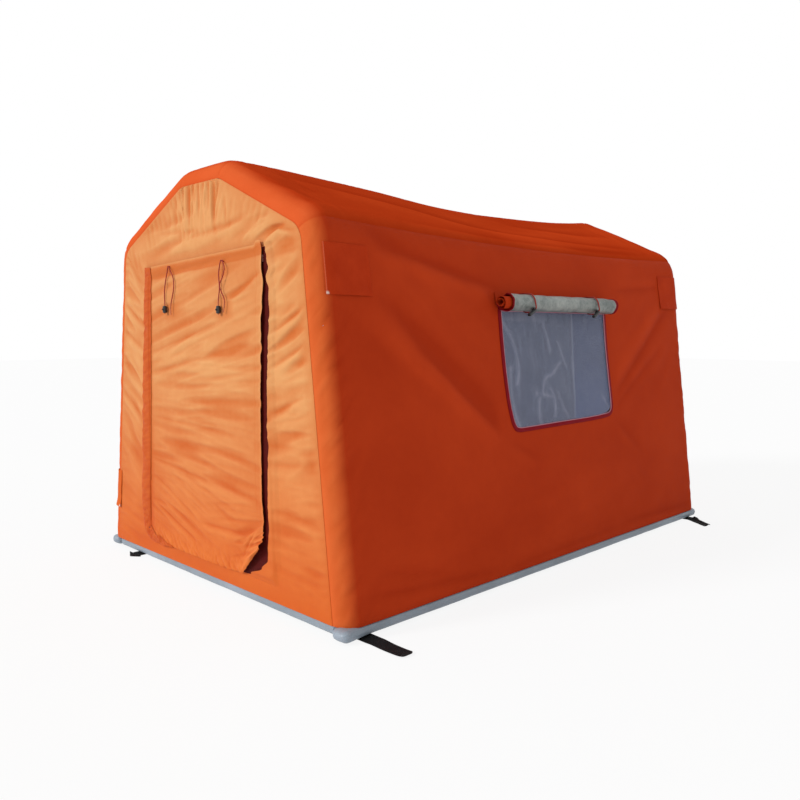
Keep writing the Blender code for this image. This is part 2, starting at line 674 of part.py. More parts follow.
# Cord locks: a barrel with a bore for the cord, and a push button in its side.
def cord_lock(name, place, length):
    """Local Z is the cord's way through the barrel and local X the button's way out."""
    half = length / 2
    shoulder, side = LOCK_RADIUS - LOCK_CHAMFER, half - LOCK_CHAMFER
    section = [(LOCK_BORE, -half), (shoulder, -half), (LOCK_RADIUS, -side), (LOCK_RADIUS, side),
               (shoulder, half), (LOCK_BORE, half), (LOCK_BORE, -half)]
    barrel = turned_ring(name, section, place)
    pocket_floor = LOCK_RADIUS - BUTTON_POCKET
    across = place @ aimed((0, 0, 0), (1, 0, 0))
    wide, beyond = BUTTON_RADIUS + FIT, 2 * LOCK_RADIUS
    pocket = turned("pocket", [(0, pocket_floor), (wide, pocket_floor), (wide, beyond), (0, beyond)],
                    across, BLACK_PLASTIC)
    cut(barrel, pocket)
    floor = pocket_floor + BUTTON_POCKET / 2
    top, edge = floor + BUTTON_LENGTH, BUTTON_CHAMFER
    turned(f"{name}_button", [(0, floor), (BUTTON_RADIUS, floor), (BUTTON_RADIUS, top - edge),
                              (BUTTON_RADIUS - edge, top), (0, top)], across, BLACK_PLASTIC)


def turned_ring(name, section, place):
    """A turned body with a bore right through it; its section ends where it starts."""
    shape = bmesh.new()
    rings = []
    for radius, height in section[:-1]:
        ring = []
        for k in range(TURNED_SIDES):
            angle = 2 * math.pi * k / TURNED_SIDES
            ring.append(shape.verts.new((radius * math.cos(angle), radius * math.sin(angle), height)))
        rings.append(ring)
    for near, far in zip(rings, rings[1:] + rings[:1]):
        for k in range(TURNED_SIDES):
            after = (k + 1) % TURNED_SIDES
            shape.faces.new([near[k], near[after], far[after], far[k]])
    bmesh.ops.transform(shape, matrix=place, verts=shape.verts)
    return add_object(name, closed_mesh(name, shape), BLACK_PLASTIC, 40)


# Door ties: each is a loop of elastic cord sewn in at the door's head, with its lock low on the left strand.
TIE_STAND = DOOR_BACK + CLOTH + DOOR_FOLD + CORD


def door_face(x, z):
    """How far the door's outer face stands out at a place on it."""
    across = (x / (door_half(z) + DOOR_LAP) + 1) / 2
    return DOOR_BACK + CLOTH + door_fold(across, (DOOR_HIGH - z) / (DOOR_HIGH - DOOR_LOW))


LEFT_TIE = [(0.004, 0.0, -0.012), (0.004, 0.0, -0.008), (0.006, 0.003, -0.002), (0.020, -0.018, 0.0),
            (0.042, -0.048, 0.0), (0.051, -0.080, 0.0), (0.044, -0.125, 0.0), (0.028, -0.172, 0.0),
            (0.012, -0.212, 0.0), (-0.004, -0.240, 0.001), (-0.023, -0.250, 0.001), (-0.037, -0.238, 0.001),
            (-0.040, -0.217, 0.001), (-0.040, -0.200, 0.001), (-0.040, -0.183, 0.001),
            (-0.041, -0.160, 0.0), (-0.042, -0.130, 0.0), (-0.036, -0.090, 0.0), (-0.024, -0.055, 0.0),
            (-0.011, -0.024, 0.0), (-0.006, 0.003, -0.002), (-0.004, 0.0, -0.008), (-0.004, 0.0, -0.012)]
RIGHT_TIE = [(0.004, 0.0, -0.012), (0.004, 0.0, -0.008), (0.006, 0.003, -0.002), (0.018, -0.018, 0.0),
             (0.025, -0.045, 0.0), (0.020, -0.080, 0.003), (0.006, -0.115, 0.006), (-0.014, -0.145, 0.004),
             (-0.026, -0.175, 0.001), (-0.028, -0.193, 0.001), (-0.028, -0.210, 0.001),
             (-0.028, -0.227, 0.001), (-0.024, -0.248, 0.001), (-0.008, -0.262, 0.001),
             (0.010, -0.256, 0.0), (0.021, -0.235, 0.0), (0.024, -0.200, 0.0), (0.019, -0.155, 0.0),
             (0.006, -0.115, -0.001), (-0.006, -0.080, -0.001), (-0.012, -0.040, 0.0),
             (-0.007, 0.003, -0.002), (-0.004, 0.0, -0.008), (-0.004, 0.0, -0.012)]


def door_tie(name, lock, x, route, lock_at, lock_reach):
    points = [(x + dx, -(TIE_STAND + dy), DOOR_TIE_HEIGHT + dz) for dx, dz, dy in route]
    for index in (0, -1):
        root_x, _, root_z = points[index]
        points[index] = (root_x, -(door_face(root_x, root_z) + 3 * FIT), root_z)
    cord(name, points, RED_ELASTIC)
    centre = Vector((x + lock_reach, -(TIE_STAND + 0.001), DOOR_TIE_HEIGHT + lock_at))
    turn = Matrix((Vector((0, -1, 0)), Vector((1, 0, 0)), Vector((0, 0, 1)))).transposed().to_4x4()
    cord_lock(lock, Matrix.Translation(centre) @ turn, DOOR_LOCK_LENGTH)


door_tie("left_door_tie", "left_door_lock", DOOR_TIE_LEFT, LEFT_TIE, -0.200, -0.040)
door_tie("right_door_tie", "right_door_lock", DOOR_TIE_RIGHT, RIGHT_TIE, -0.210, -0.028)

# Blind ties: elastic cords from the blind's seam over the roll, through a lock, to the roll's underside.
TIE_GAP = 3 * FIT
TIE_SEWN = 0.004


def round_roll(turn, stand):
    """A place beside the roll in its frame: turn is measured from straight out towards the ground."""
    return Vector((0.0, ROLL_DROP + stand * math.sin(turn), ROLL_STANDOFF + stand * math.cos(turn)))


def on_roll(turn, height):
    """A place over the wound cloth, whose radius shrinks by its pitch in each turn from behind the roll."""
    wound = ROLL_RADIUS - ROLL_PITCH * (math.pi - turn) / (2 * math.pi)
    return round_roll(turn, wound + TIE_GAP + height)


def blind_tie(name, lock, y):
    frame = ROLL_PLACE @ Matrix.Translation((-y, 0, 0))
    middle = math.radians(BLIND_LOCK_TURN)
    free = math.radians(50)
    slope = (ROLL_RISE - SEAM_RISE) / ROLL_DROP
    sewn = SEAM_RISE + BLIND_CLOTH + slope * (TIE_SEWN + CORD / 2) + 2 * FIT
    route = [Vector((0.0, TIE_SEWN + 0.05 * rise, sewn + rise)) for rise in (0.0, 0.010, 0.020, 0.032)]
    route.append(on_roll(math.radians(-100), CORD / 2 + 0.002))
    route += [on_roll(math.radians(turn), CORD / 2) for turn in range(-85, 0, 12)]
    route.append(on_roll(middle - free, CORD / 2))
    along = round_roll(middle + QUARTER, 1.0) - round_roll(middle + QUARTER, 0.0)
    centre = on_roll(middle, LOCK_RADIUS)
    route += [centre + along * BLIND_LOCK_LENGTH * share for share in (-0.8, -0.5, 0.0, 0.5, 0.8)]
    route += [on_roll(middle + free + math.radians(turn), CORD / 2) for turn in (0, 12, 24)]
    cord(name, [frame @ point for point in route], RED_ELASTIC)
    outward = (centre - round_roll(middle, 0.0)).normalized()
    turn = Matrix((outward, along.cross(outward), along)).transposed().to_4x4()
    cord_lock(lock, frame @ Matrix.Translation(centre) @ turn, BLIND_LOCK_LENGTH)


blind_tie("front_blind_tie", "front_blind_lock", ROLL_TIE_FRONT)
blind_tie("rear_blind_tie", "rear_blind_lock", ROLL_TIE_REAR)


# Valves: recessed in the arch beams behind the flaps. Heights run out from the leg's centreline.
def leg_frame(side, y, z):
    """Local Z runs square out of the leg, through the beam and the wall."""
    foot = Vector((side * (FOOT_HALF - math.tan(LEAN) * z), y, z))
    return aimed(foot, (side * math.cos(LEAN), 0, math.sin(LEAN)))


CAP_TOP = math.sqrt(COVER_RADIUS ** 2 - VALVE_SOCKET ** 2) - FIT
FLANGE_TOP = CAP_TOP - CAP_HEIGHT - FIT
FLANGE_FOOT = FLANGE_TOP - VALVE_FLANGE
BARREL_FOOT = FLANGE_TOP - VALVE_DEPTH
BORE_FOOT = BARREL_FOOT + VALVE_FLOOR


def valve_body(name, place, beam, wall):
    """The valve's housing, the stepped socket in the beam and the round hole in the wall over it."""
    far = COVER_RADIUS + 0.05
    gap = VALVE_SIDE_GAP
    socket = [(0, BARREL_FOOT - FIT), (VALVE_BARREL + gap, BARREL_FOOT - FIT),
              (VALVE_BARREL + gap, FLANGE_FOOT - FIT), (VALVE_SOCKET + gap, FLANGE_FOOT - FIT),
              (VALVE_SOCKET + gap, far), (0, far)]
    cut(beam, turned("socket", socket, place, GREY_PVC))
    through = [(0, ARCH_RADIUS / 2), (WALL_HOLE, ARCH_RADIUS / 2), (WALL_HOLE, far), (0, far)]
    cut(wall, turned("through", through, place, ORANGE))
    turned(name, [(0, BARREL_FOOT), (VALVE_BARREL, BARREL_FOOT), (VALVE_BARREL, FLANGE_FOOT),
                  (VALVE_SOCKET, FLANGE_FOOT), (VALVE_SOCKET, FLANGE_TOP), (VALVE_BORE, FLANGE_TOP),
                  (VALVE_BORE, BORE_FOOT), (0, BORE_FOOT)], place, BLACK_PLASTIC)


def poppet(name, place, top):
    """The moving disc and stem in a valve's bore."""
    disc = VALVE_BORE - 2 * VALVE_SIDE_GAP
    stem = VALVE_BORE * POPPET_STEM_SHARE
    foot, under, side = top - POPPET_LENGTH, top - POPPET_DISC, top - POPPET_CHAMFER
    turned(name, [(0, foot), (stem, foot), (stem, under), (disc, under), (disc, side),
                  (disc - POPPET_CHAMFER, top), (0, top)], place, BLACK_PLASTIC)


UPPER_FRONT = leg_frame(1, -ARCH_Y, UPPER_FLAP_HEIGHT)
UPPER_REAR = leg_frame(1, ARCH_Y, UPPER_FLAP_HEIGHT)
LOWER_LEFT = leg_frame(-1, -ARCH_Y, LOWER_FLAP_HEIGHT)
valve_body("front_relief_valve", UPPER_FRONT, front_arch, right_wall)
poppet("front_relief_poppet", UPPER_FRONT, FLANGE_TOP - 0.001)
valve_body("rear_relief_valve", UPPER_REAR, rear_arch, right_wall)
poppet("rear_relief_poppet", UPPER_REAR, FLANGE_TOP - 0.001)
valve_body("inflation_valve", LOWER_LEFT, front_arch, left_wall)
poppet("inflation_plunger", LOWER_LEFT, FLANGE_TOP - 0.001)
CAP_FOOT = FLANGE_TOP + FIT
CAP_RIM = VALVE_SOCKET - CAP_SIDE_GAP
turned("inflation_cap", [(0, CAP_FOOT), (CAP_RIM, CAP_FOOT),
                         (CAP_RIM, CAP_FOOT + CAP_HEIGHT - CAP_CHAMFER),
                         (CAP_RIM - CAP_CHAMFER, CAP_FOOT + CAP_HEIGHT), (0, CAP_FOOT + CAP_HEIGHT)],
       LOWER_LEFT, BLACK_PLASTIC, 5, 0.10)


# Flaps: squares of cover cloth sewn along their top edge, lying on the wall over each valve.
def flap(name, side, end, z):
    """The flap starts on the arch's round side and runs on along the wall."""
    rows = flap_rows(z) if side > 0 else mirrored(flap_rows(z))
    wrapped = (FLAP_WIDTH / 2 - FLAP_SHIFT) / COVER_RADIUS
    step = QUARTER / WRAP_STEPS
    turns = [wrapped, *(step * k for k in range(int(wrapped / step), -1, -1))]
    lengths = [(end * ARCH_Y, end * turn) for turn in turns] + [(end * FLAP_END, 0.0)]
    cover_sheet(name, rows, lengths, out=CLOTH + FLAP_STAND)


flap("front_upper_flap", 1, -1, UPPER_FLAP_HEIGHT)
flap("rear_upper_flap", 1, 1, UPPER_FLAP_HEIGHT)
flap("inflation_flap", -1, -1, LOWER_FLAP_HEIGHT)

# Ground straps: a root sewn against the groundsheet's edge and a loose webbing tail beyond the base beam.
ROOT_END = SIDE_BEAM_X + BASE_WIDTH / 2 + ROOT_OVERRUN
STRAP_Y = FRONT_Y - STRAP_SETBACK
FRONT_TAB_X = FRONT_TAB_INSET - FOOT_HALF


def strap(name, place, edge, root_end, reach):
    """Local X runs out from the tent along the ground."""
    half = STRAP_WIDTH / 2
    low, high = STRAP_LIFT, STRAP_LIFT + STRAP_THICK
    block(f"{name}_root", (edge + FIT, -half, low), (root_end, half, high), BLACK_WEBBING, place)
    block(name, (root_end + FIT, -half, low), (root_end + reach, half, high), BLACK_WEBBING, place)


strap("front_right_strap", Matrix.Translation((0, -STRAP_Y, 0)), FLOOR_X, ROOT_END, STRAP_REACH)
strap("rear_right_strap", Matrix.Translation((0, STRAP_Y, 0)), FLOOR_X, ROOT_END, REAR_STRAP_REACH)
strap("rear_left_strap", Matrix.Translation((0, STRAP_Y, 0)) @ Matrix.Rotation(math.pi, 4, "Z"),
      FLOOR_X, ROOT_END, REAR_STRAP_REACH)
strap("front_left_strap", Matrix.Translation((FRONT_TAB_X, 0, 0)) @ Matrix.Rotation(-math.pi / 2, 4, "Z"),
      FLOOR_Y, FRONT_Y + ROOT_OVERRUN, FRONT_TAB_REACH)
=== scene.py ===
"""Inflatable tent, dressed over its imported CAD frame. The door faces -Y and the window wall faces +X."""
import math

import bmesh
import bpy
import numpy as np
from mathutils import Matrix, Vector


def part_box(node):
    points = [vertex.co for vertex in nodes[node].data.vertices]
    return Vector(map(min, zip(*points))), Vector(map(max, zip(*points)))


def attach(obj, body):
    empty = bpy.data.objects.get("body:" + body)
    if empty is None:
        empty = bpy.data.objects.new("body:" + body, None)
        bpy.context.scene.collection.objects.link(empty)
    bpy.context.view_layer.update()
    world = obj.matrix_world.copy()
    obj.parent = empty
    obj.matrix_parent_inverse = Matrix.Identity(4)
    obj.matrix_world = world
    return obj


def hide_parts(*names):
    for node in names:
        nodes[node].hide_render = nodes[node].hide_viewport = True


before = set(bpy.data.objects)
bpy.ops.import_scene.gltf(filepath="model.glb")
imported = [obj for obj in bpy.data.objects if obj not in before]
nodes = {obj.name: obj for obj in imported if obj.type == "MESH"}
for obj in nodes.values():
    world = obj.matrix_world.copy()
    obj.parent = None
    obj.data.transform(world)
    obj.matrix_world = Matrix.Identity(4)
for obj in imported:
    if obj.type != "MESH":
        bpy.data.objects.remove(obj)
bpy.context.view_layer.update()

bpy.ops.object.select_all(action="DESELECT")

# Camera: at a standing person's waist, off the front right corner, so that the door end and the window wall
# are seen about equally.
CAMERA_PLACE = (3.1987, -3.3877, 1.1982)
CAMERA_AZIMUTH = math.radians(45.25)
CAMERA_PITCH = math.radians(5.066)
CAMERA_ROLL = math.radians(0.075)
LENS_MM, SENSOR_MM = 35.105, 36

bpy.ops.object.camera_add(location=CAMERA_PLACE)
camera = bpy.context.object
look = Matrix.Rotation(CAMERA_AZIMUTH, 4, "Z") @ Matrix.Rotation(math.pi / 2 - CAMERA_PITCH, 4, "X")
camera.matrix_world = Matrix.Translation(CAMERA_PLACE) @ look @ Matrix.Rotation(CAMERA_ROLL, 4, "Z")
camera.data.lens = LENS_MM
camera.data.sensor_width = SENSOR_MM
bpy.context.scene.camera = camera
camera.select_set(False)


# Door ties: braided elastic, sewn in at the door's head in two places. Each tie has two strands. One runs
# down through a cord lock, which holds the door when it is rolled up. The other hangs free.
def feed(tree, slot, value):
    """Give a node's slot a plain value, or link it to a shader value."""
    if isinstance(value, Shade):
        tree.links.new(value.socket, slot)
    else:
        slot.default_value = value


class Shade:
    """A shader value with Python's operators; each operation adds its Math node."""

    def __init__(self, tree, socket):
        self.tree = tree
        self.socket = socket

    def math(self, operation, *others):
        node = self.tree.nodes.new("ShaderNodeMath")
        node.operation = operation
        for slot, value in zip(node.inputs, (self, *others)):
            feed(self.tree, slot, value)
        return Shade(self.tree, node.outputs[0])

    def __add__(self, other):
        return self.math("ADD", other)

    __radd__ = __add__

    def __mul__(self, other):
        return self.math("MULTIPLY", other)

    __rmul__ = __mul__

    def __sub__(self, other):
        return self.math("SUBTRACT", other)

    def __rsub__(self, other):
        return (self * -1.0) + other

    def __pow__(self, other):
        return self.math("POWER", other)

    def clamp(self):
        return self.math("MINIMUM", 1.0).math("MAXIMUM", 0.0)


class Finish:
    """A procedural material in the making, with the node calls that every finish here needs."""

    def __init__(self, name, colour, roughness, **sockets):
        self.made = bpy.data.materials.new(name)
        self.made.use_nodes = True
        self.tree = self.made.node_tree
        self.shader = self.tree.nodes["Principled BSDF"]
        self.shader.inputs["Base Color"].default_value = (*colour, 1)
        self.shader.inputs["Roughness"].default_value = roughness
        for socket, value in sockets.items():
            self.shader.inputs[socket.replace("_", " ")].default_value = value

    def node(self, kind, settings=None, **inputs):
        made = self.tree.nodes.new("ShaderNode" + kind)
        for key, value in (settings or {}).items():
            setattr(made, key, value)
        for key, value in inputs.items():
            feed(self.tree, made.inputs[key.replace("_", " ")], value)
        return made

    def out(self, node, output=0):
        return Shade(self.tree, node.outputs[output])

    def place(self):
        return self.out(self.node("TexCoord"), "Object")

    def uv(self):
        return self.out(self.node("TexCoord"), "UV")

    def attribute(self, name):
        return self.out(self.node("Attribute", {"attribute_name": name}), "Fac")

    def split(self, vector):
        node = self.node("SeparateXYZ", Vector=vector)
        return [self.out(node, k) for k in range(3)]

    def noise(self, scale, detail=3.0, roughness=0.5):
        """Noise over the piece's own place."""
        place = self.place()
        node = self.node("TexNoise", Vector=place, Scale=scale, Detail=detail, Roughness=roughness)
        return self.out(node)

    def waves(self, value, pitch, sharpness=1.0):
        """A ridge per pitch of the value, from 0 to 1."""
        return ((value * (2 * math.pi / pitch)).math("SINE") * 0.5 + 0.5) ** sharpness

    def mix(self, factor, first, second):
        node = self.node("Mix", {"data_type": "RGBA"})
        for slot, value in zip((node.inputs[0], node.inputs[6], node.inputs[7]), (factor, first, second)):
            feed(self.tree, slot, (*value, 1) if isinstance(value, tuple) else value)
        return self.out(node, 2)

    def colour(self, value):
        self.tree.links.new(value.socket, self.shader.inputs["Base Color"])

    def rough(self, value):
        self.tree.links.new(value.socket, self.shader.inputs["Roughness"])

    def alpha(self, value):
        self.tree.links.new(value.socket, self.shader.inputs["Alpha"])

    def bump(self, height, distance, strength=1.0):
        node = self.node("Bump", Height=height, Distance=distance, Strength=strength)
        self.tree.links.new(node.outputs[0], self.shader.inputs["Normal"])


def elastic_finish():
    """Braided elastic: dark red yarn in a fine slanting braid."""
    made = Finish("red_elastic", (0.22, 0.012, 0.012), 0.75)
    x, y, z = made.split(made.place())
    braid = made.waves(z + x, 0.0022) * made.waves(z - x, 0.0022)
    fluff = made.noise(900.0)
    worn = ((1.345 - z) * 25.0).clamp() * ((-1.45 - y) * 100.0).clamp() * 0.7
    yarn = made.mix((braid * 0.7 + fluff * 0.3).clamp(), (0.24, 0.014, 0.010), (0.52, 0.060, 0.032))
    made.colour(made.mix(worn, yarn, (0.56, 0.20, 0.09)))
    made.bump(braid, 0.0004, 0.8)
    return made.made


ELASTIC = elastic_finish()


def moulded_finish():
    """Moulded black plastic with a fine eroded grain."""
    made = Finish("black_plastic", (0.016, 0.016, 0.018), 0.42)
    grain = made.noise(1400.0, 2.0)
    dust = made.noise(60.0, 4.0)
    made.colour(made.mix((dust * 0.5).clamp(), (0.012, 0.012, 0.014), (0.040, 0.038, 0.036)))
    made.rough(grain * 0.25 + 0.30)
    made.bump(grain, 0.00008, 0.5)
    return made.made


MOULDED = moulded_finish()


def refinish(material, *names):
    """Give CAD nodes that keep their shape a procedural material."""
    for name in names:
        mesh = nodes[name].data
        mesh.materials.clear()
        mesh.materials.append(material)


def dress(piece, body, slot, *names):
    """Ride a finished piece on its body in place of its CAD nodes."""
    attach(piece, body)
    if names:
        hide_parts(*names)


TIE_DIAMETER = 0.005
TIE_HEIGHT = 1.500
TIE_STAND = 1.5203
TIE_ROOT_STAND = 1.5055
LEFT_TIE_X, RIGHT_TIE_X = -0.262, 0.206
LEFT_LOCKED = [(-0.004, 0.0, -0.012), (-0.004, 0.0, -0.008), (-0.006, 0.003, -0.002), (-0.011, -0.024, 0.0),
               (-0.024, -0.055, 0.0), (-0.036, -0.090, 0.0), (-0.042, -0.130, 0.0), (-0.041, -0.160, 0.0),
               (-0.040, -0.183, 0.001), (-0.040, -0.200, 0.001), (-0.040, -0.222, 0.001)]
LEFT_FREE = [(0.004, 0.0, -0.012), (0.004, 0.0, -0.008), (0.006, 0.003, -0.002), (0.020, -0.018, 0.0),
             (0.041, -0.044, 0.0), (0.050, -0.074, 0.0), (0.047, -0.105, 0.0), (0.035, -0.138, 0.0),
             (0.022, -0.168, 0.0), (0.014, -0.196, 0.0), (0.017, -0.228, 0.0)]
RIGHT_LOCKED = [(-0.004, 0.0, -0.012), (-0.004, 0.0, -0.008), (-0.007, 0.003, -0.002), (-0.015, -0.025, 0.0),
                (-0.022, -0.055, 0.0), (-0.019, -0.090, 0.0), (-0.018, -0.120, 0.0), (-0.024, -0.150, 0.0),
                (-0.028, -0.180, 0.001), (-0.028, -0.210, 0.001), (-0.028, -0.232, 0.001)]
RIGHT_FREE = [(0.004, 0.0, -0.012), (0.004, 0.0, -0.008), (0.006, 0.003, -0.002), (0.019, -0.014, 0.0),
              (0.026, -0.036, 0.002), (0.018, -0.066, 0.005), (0.001, -0.092, 0.007),
              (-0.005, -0.110, 0.007), (0.006, -0.136, 0.004), (0.019, -0.164, 0.0), (0.020, -0.190, 0.0),
              (0.009, -0.222, 0.0)]


def smooth_line(route, steps):
    """A smooth curve through a route's points, with the given number of steps in each gap."""
    points = [Vector(p) for p in route]
    points = [2 * points[0] - points[1], *points, 2 * points[-1] - points[-2]]
    line = []
    for before, start, end, after in zip(points, points[1:], points[2:], points[3:]):
        for k in range(steps):
            t = k / steps
            pull = 2 * before - 5 * start + 4 * end - after
            twist = 3 * start - before - 3 * end + after
            line.append(0.5 * (2 * start + (end - before) * t + pull * t * t + twist * t ** 3))
    return [*line, points[-2]]


def plane_line(route, steps):
    """A smooth curve through a route of two-number places, as an array."""
    return np.array([(p.x, p.y) for p in smooth_line([(a, b, 0) for a, b in route], steps)])


def cord_piece(name, line, diameter, material):
    """A round cord along a line of points."""
    data = bpy.data.curves.new(name, "CURVE")
    data.dimensions = "3D"
    data.bevel_depth = diameter / 2
    data.bevel_resolution = 3
    data.use_fill_caps = True
    spline = data.splines.new("POLY")
    spline.points.add(len(line) - 1)
    for point, place in zip(spline.points, line):
        point.co = (*place, 1)
    data.materials.append(material)
    piece = bpy.data.objects.new(name, data)
    bpy.context.scene.collection.objects.link(piece)
    return piece


def line_length(line):
    """The length of a line of points."""
    return sum((b - a).length for a, b in zip(line, line[1:]))


for label, tie_x, locked, loose in (("left", LEFT_TIE_X, LEFT_LOCKED, LEFT_FREE),
                                    ("right", RIGHT_TIE_X, RIGHT_LOCKED, RIGHT_FREE)):
    lock, button = nodes[f"{label}_door_lock"], nodes[f"{label}_door_lock_button"]
    refinish(MOULDED, lock.name, button.name)
    for kind, tie_route in (("locked", locked), ("free", loose)):
        route = [(tie_x + dx, -(TIE_STAND + dy), TIE_HEIGHT + dz) for dx, dz, dy in tie_route]
        route[0] = (route[0][0], -TIE_ROOT_STAND, route[0][2])
        line = smooth_line(route, 4)
        tie = cord_piece(f"{label}_door_elastic_{kind}", line, TIE_DIAMETER, ELASTIC)
        dress(tie, "door", "red_elastic", *([f"{label}_door_tie"] if kind == "locked" else []))
        round(line_length(line), 3)

# Studio: a white floor and world, with one soft lamp for the sun on the door end and the sky's fill.
SUN_FROM = (-0.36, -0.88, 0.52)
SUN_STRENGTH = 2.0
SUN_SPREAD = math.radians(14)
SKY_STRENGTH = 0.56
FLOOR_SPAN = 60.0
FLOOR_GLOW = 0.88

world = bpy.data.worlds.new("studio")
bpy.context.scene.world = world
world.use_nodes = True
sky = world.node_tree
rays = sky.nodes.new("ShaderNodeLightPath")
seen = Shade(sky, rays.outputs["Is Camera Ray"]) + Shade(sky, rays.outputs["Is Transmission Ray"])
seen = (seen + Shade(sky, rays.outputs["Is Glossy Ray"])).clamp()
backdrop = sky.nodes["Background"]
backdrop.inputs["Color"].default_value = (1, 1, 1, 1)
sky.links.new((seen * (1 - SKY_STRENGTH) + SKY_STRENGTH).socket, backdrop.inputs["Strength"])

bpy.ops.object.light_add(type="SUN")
sun = bpy.context.object
sun.rotation_euler = Vector(SUN_FROM).to_track_quat("Z", "Y").to_euler()
sun.data.energy = SUN_STRENGTH
sun.data.angle = SUN_SPREAD

bpy.ops.mesh.primitive_plane_add(size=FLOOR_SPAN, location=(0, 0, -0.0005))
floor = bpy.context.object
floor.name = "studio_floor"
bpy.ops.object.transform_apply(location=True)
paper = Finish("studio_paper", (0.9, 0.9, 0.9), 0.9)
glow = paper.node("Emission", Color=(1, 1, 1, 1), Strength=1.0)
path = paper.node("LightPath")
share = (paper.out(path, "Is Camera Ray") + paper.out(path, "Is Glossy Ray")).clamp() * FLOOR_GLOW
blend = paper.node("MixShader")
paper.tree.links.new(share.socket, blend.inputs[0])
paper.tree.links.new(paper.shader.outputs[0], blend.inputs[1])
paper.tree.links.new(glow.outputs[0], blend.inputs[2])
paper.tree.links.new(blend.outputs[0], paper.tree.nodes["Material Output"].inputs[0])
floor.data.materials.append(paper.made)
floor.select_set(False)
bpy.context.scene.view_settings.view_transform = "Standard"

# Groundsheet: one piece of heavy coated sheet, welded along its edge to the base tubes.
WRAP = math.pi / 2


def unit(value):
    """The value, kept between 0 and 1."""
    return np.clip(value, 0, 1)


def lattice(u, v, seed):
    """Smooth random heights, from about -0.7 to 0.7, over two arrays of places."""
    base_u, base_v = np.floor(u).astype(np.int64), np.floor(v).astype(np.int64)
    part_u, part_v = u - base_u, v - base_v
    ease_u, ease_v = part_u * part_u * (3 - 2 * part_u), part_v * part_v * (3 - 2 * part_v)

    def corner(a, b):
        code = ((base_u + a) * 374761393 + (base_v + b) * 668265263 + seed * 40503) & 0xFFFFFFFF
        code = ((code ^ (code >> 13)) * 1274126177) & 0xFFFFFFFF
        angle = (code >> 8 & 0xFFFF) / 65536 * 2 * math.pi
        return np.cos(angle) * (part_u - a) + np.sin(angle) * (part_v - b)

    near = corner(0, 0) * (1 - ease_u) + corner(1, 0) * ease_u
    far = corner(0, 1) * (1 - ease_u) + corner(1, 1) * ease_u
    return near * (1 - ease_v) + far * ease_v


def beyond_box(u, v, first, last, low, high):
    """How far a place is outside a rectangle; below zero inside it."""
    return np.maximum(np.maximum(first - u, u - last), np.maximum(low - v, v - high))


def mesh_piece(name, points, faces, uvs, material, marks=None):
    """A named mesh from points, faces and a place in metres on the cloth for each point.

    Marks are named values for each point, which the finish reads.
    """
    mesh = bpy.data.meshes.new(name)
    mesh.from_pydata(points.tolist(), [], faces)
    layer = mesh.uv_layers.new(name="UVMap")
    corners = np.empty(len(mesh.loops), np.int64)
    mesh.loops.foreach_get("vertex_index", corners)
    layer.data.foreach_set("uv", uvs[corners].astype(np.float32).ravel())
    for label, values in (marks or {}).items():
        layer = mesh.attributes.new(label, "FLOAT", "POINT")
        layer.data.foreach_set("value", values.astype(np.float32))
    shape = bmesh.new()
    shape.from_mesh(mesh)
    bmesh.ops.delete(shape, geom=[v for v in shape.verts if not v.link_faces], context="VERTS")
    bmesh.ops.recalc_face_normals(shape, faces=shape.faces)
    shape.to_mesh(mesh)
    shape.free()
    mesh.materials.append(material)
    mesh.shade_smooth()
    mesh.set_sharp_from_angle(angle=math.radians(60))
    piece = bpy.data.objects.new(name, mesh)
    bpy.context.scene.collection.objects.link(piece)
    return piece


def cloth_piece(name, outer, inner, cloth_uv, material, kept=None, wrap=False, **marks):
    """A closed sheet between two grids of points; kept tells which of the grid's cells have cloth."""
    rows, columns = outer.shape[:2]
    count = rows * columns
    index = np.arange(count).reshape(rows, columns)
    if wrap:
        index = np.concatenate([index, index[:, :1]], axis=1)
    cells = np.ones((index.shape[0] - 1, index.shape[1] - 1), bool) if kept is None else kept
    i, j = np.nonzero(cells)
    loop = np.stack([index[i, j], index[i, j + 1], index[i + 1, j + 1], index[i + 1, j]], axis=1)
    faces = [*loop.tolist(), *(loop[:, ::-1] + count).tolist()]
    starts = loop.ravel()
    ends = np.roll(loop, -1, axis=1).ravel()
    there = set(zip(starts.tolist(), ends.tolist()))
    faces += [(b, a, a + count, b + count) for a, b in there if (b, a) not in there]
    points = np.concatenate([outer.reshape(-1, 3), inner.reshape(-1, 3)])
    uvs = np.concatenate([cloth_uv.reshape(-1, 2)] * 2)
    values = {label: np.concatenate([value.ravel()] * 2) for label, value in marks.items()}
    return mesh_piece(name, points, faces, uvs, material, values)


def coated_finish(name, dark, light, roughness):
    """Heavy coated sheet: smooth and a little mottled, with the faint grid of its base cloth and scuffs."""
    made = Finish(name, light, roughness, Coat_Weight=0.12, Coat_Roughness=0.35)
    x, y, z = made.split(made.place())
    threads = made.waves(x + y, 0.0016) * made.waves(z + y - x, 0.0016)
    cloud = made.noise(5.0, 5.0, 0.6)
    scuff = made.noise(45.0, 6.0, 0.7)
    made.colour(made.mix(((cloud - 0.35) * 2.0 + scuff * 0.2).clamp(), dark, light))
    made.rough((scuff * 0.35 + (roughness - 0.12)).clamp())
    made.bump(threads * 0.3 + scuff, 0.0006, 0.5)
    return made.made


PVC = coated_finish("grey_pvc", (0.23, 0.28, 0.33), (0.33, 0.39, 0.46), 0.42)
FLOOR_PVC = coated_finish("grey_floor_pvc", (0.22, 0.25, 0.28), (0.30, 0.33, 0.36), 0.5)

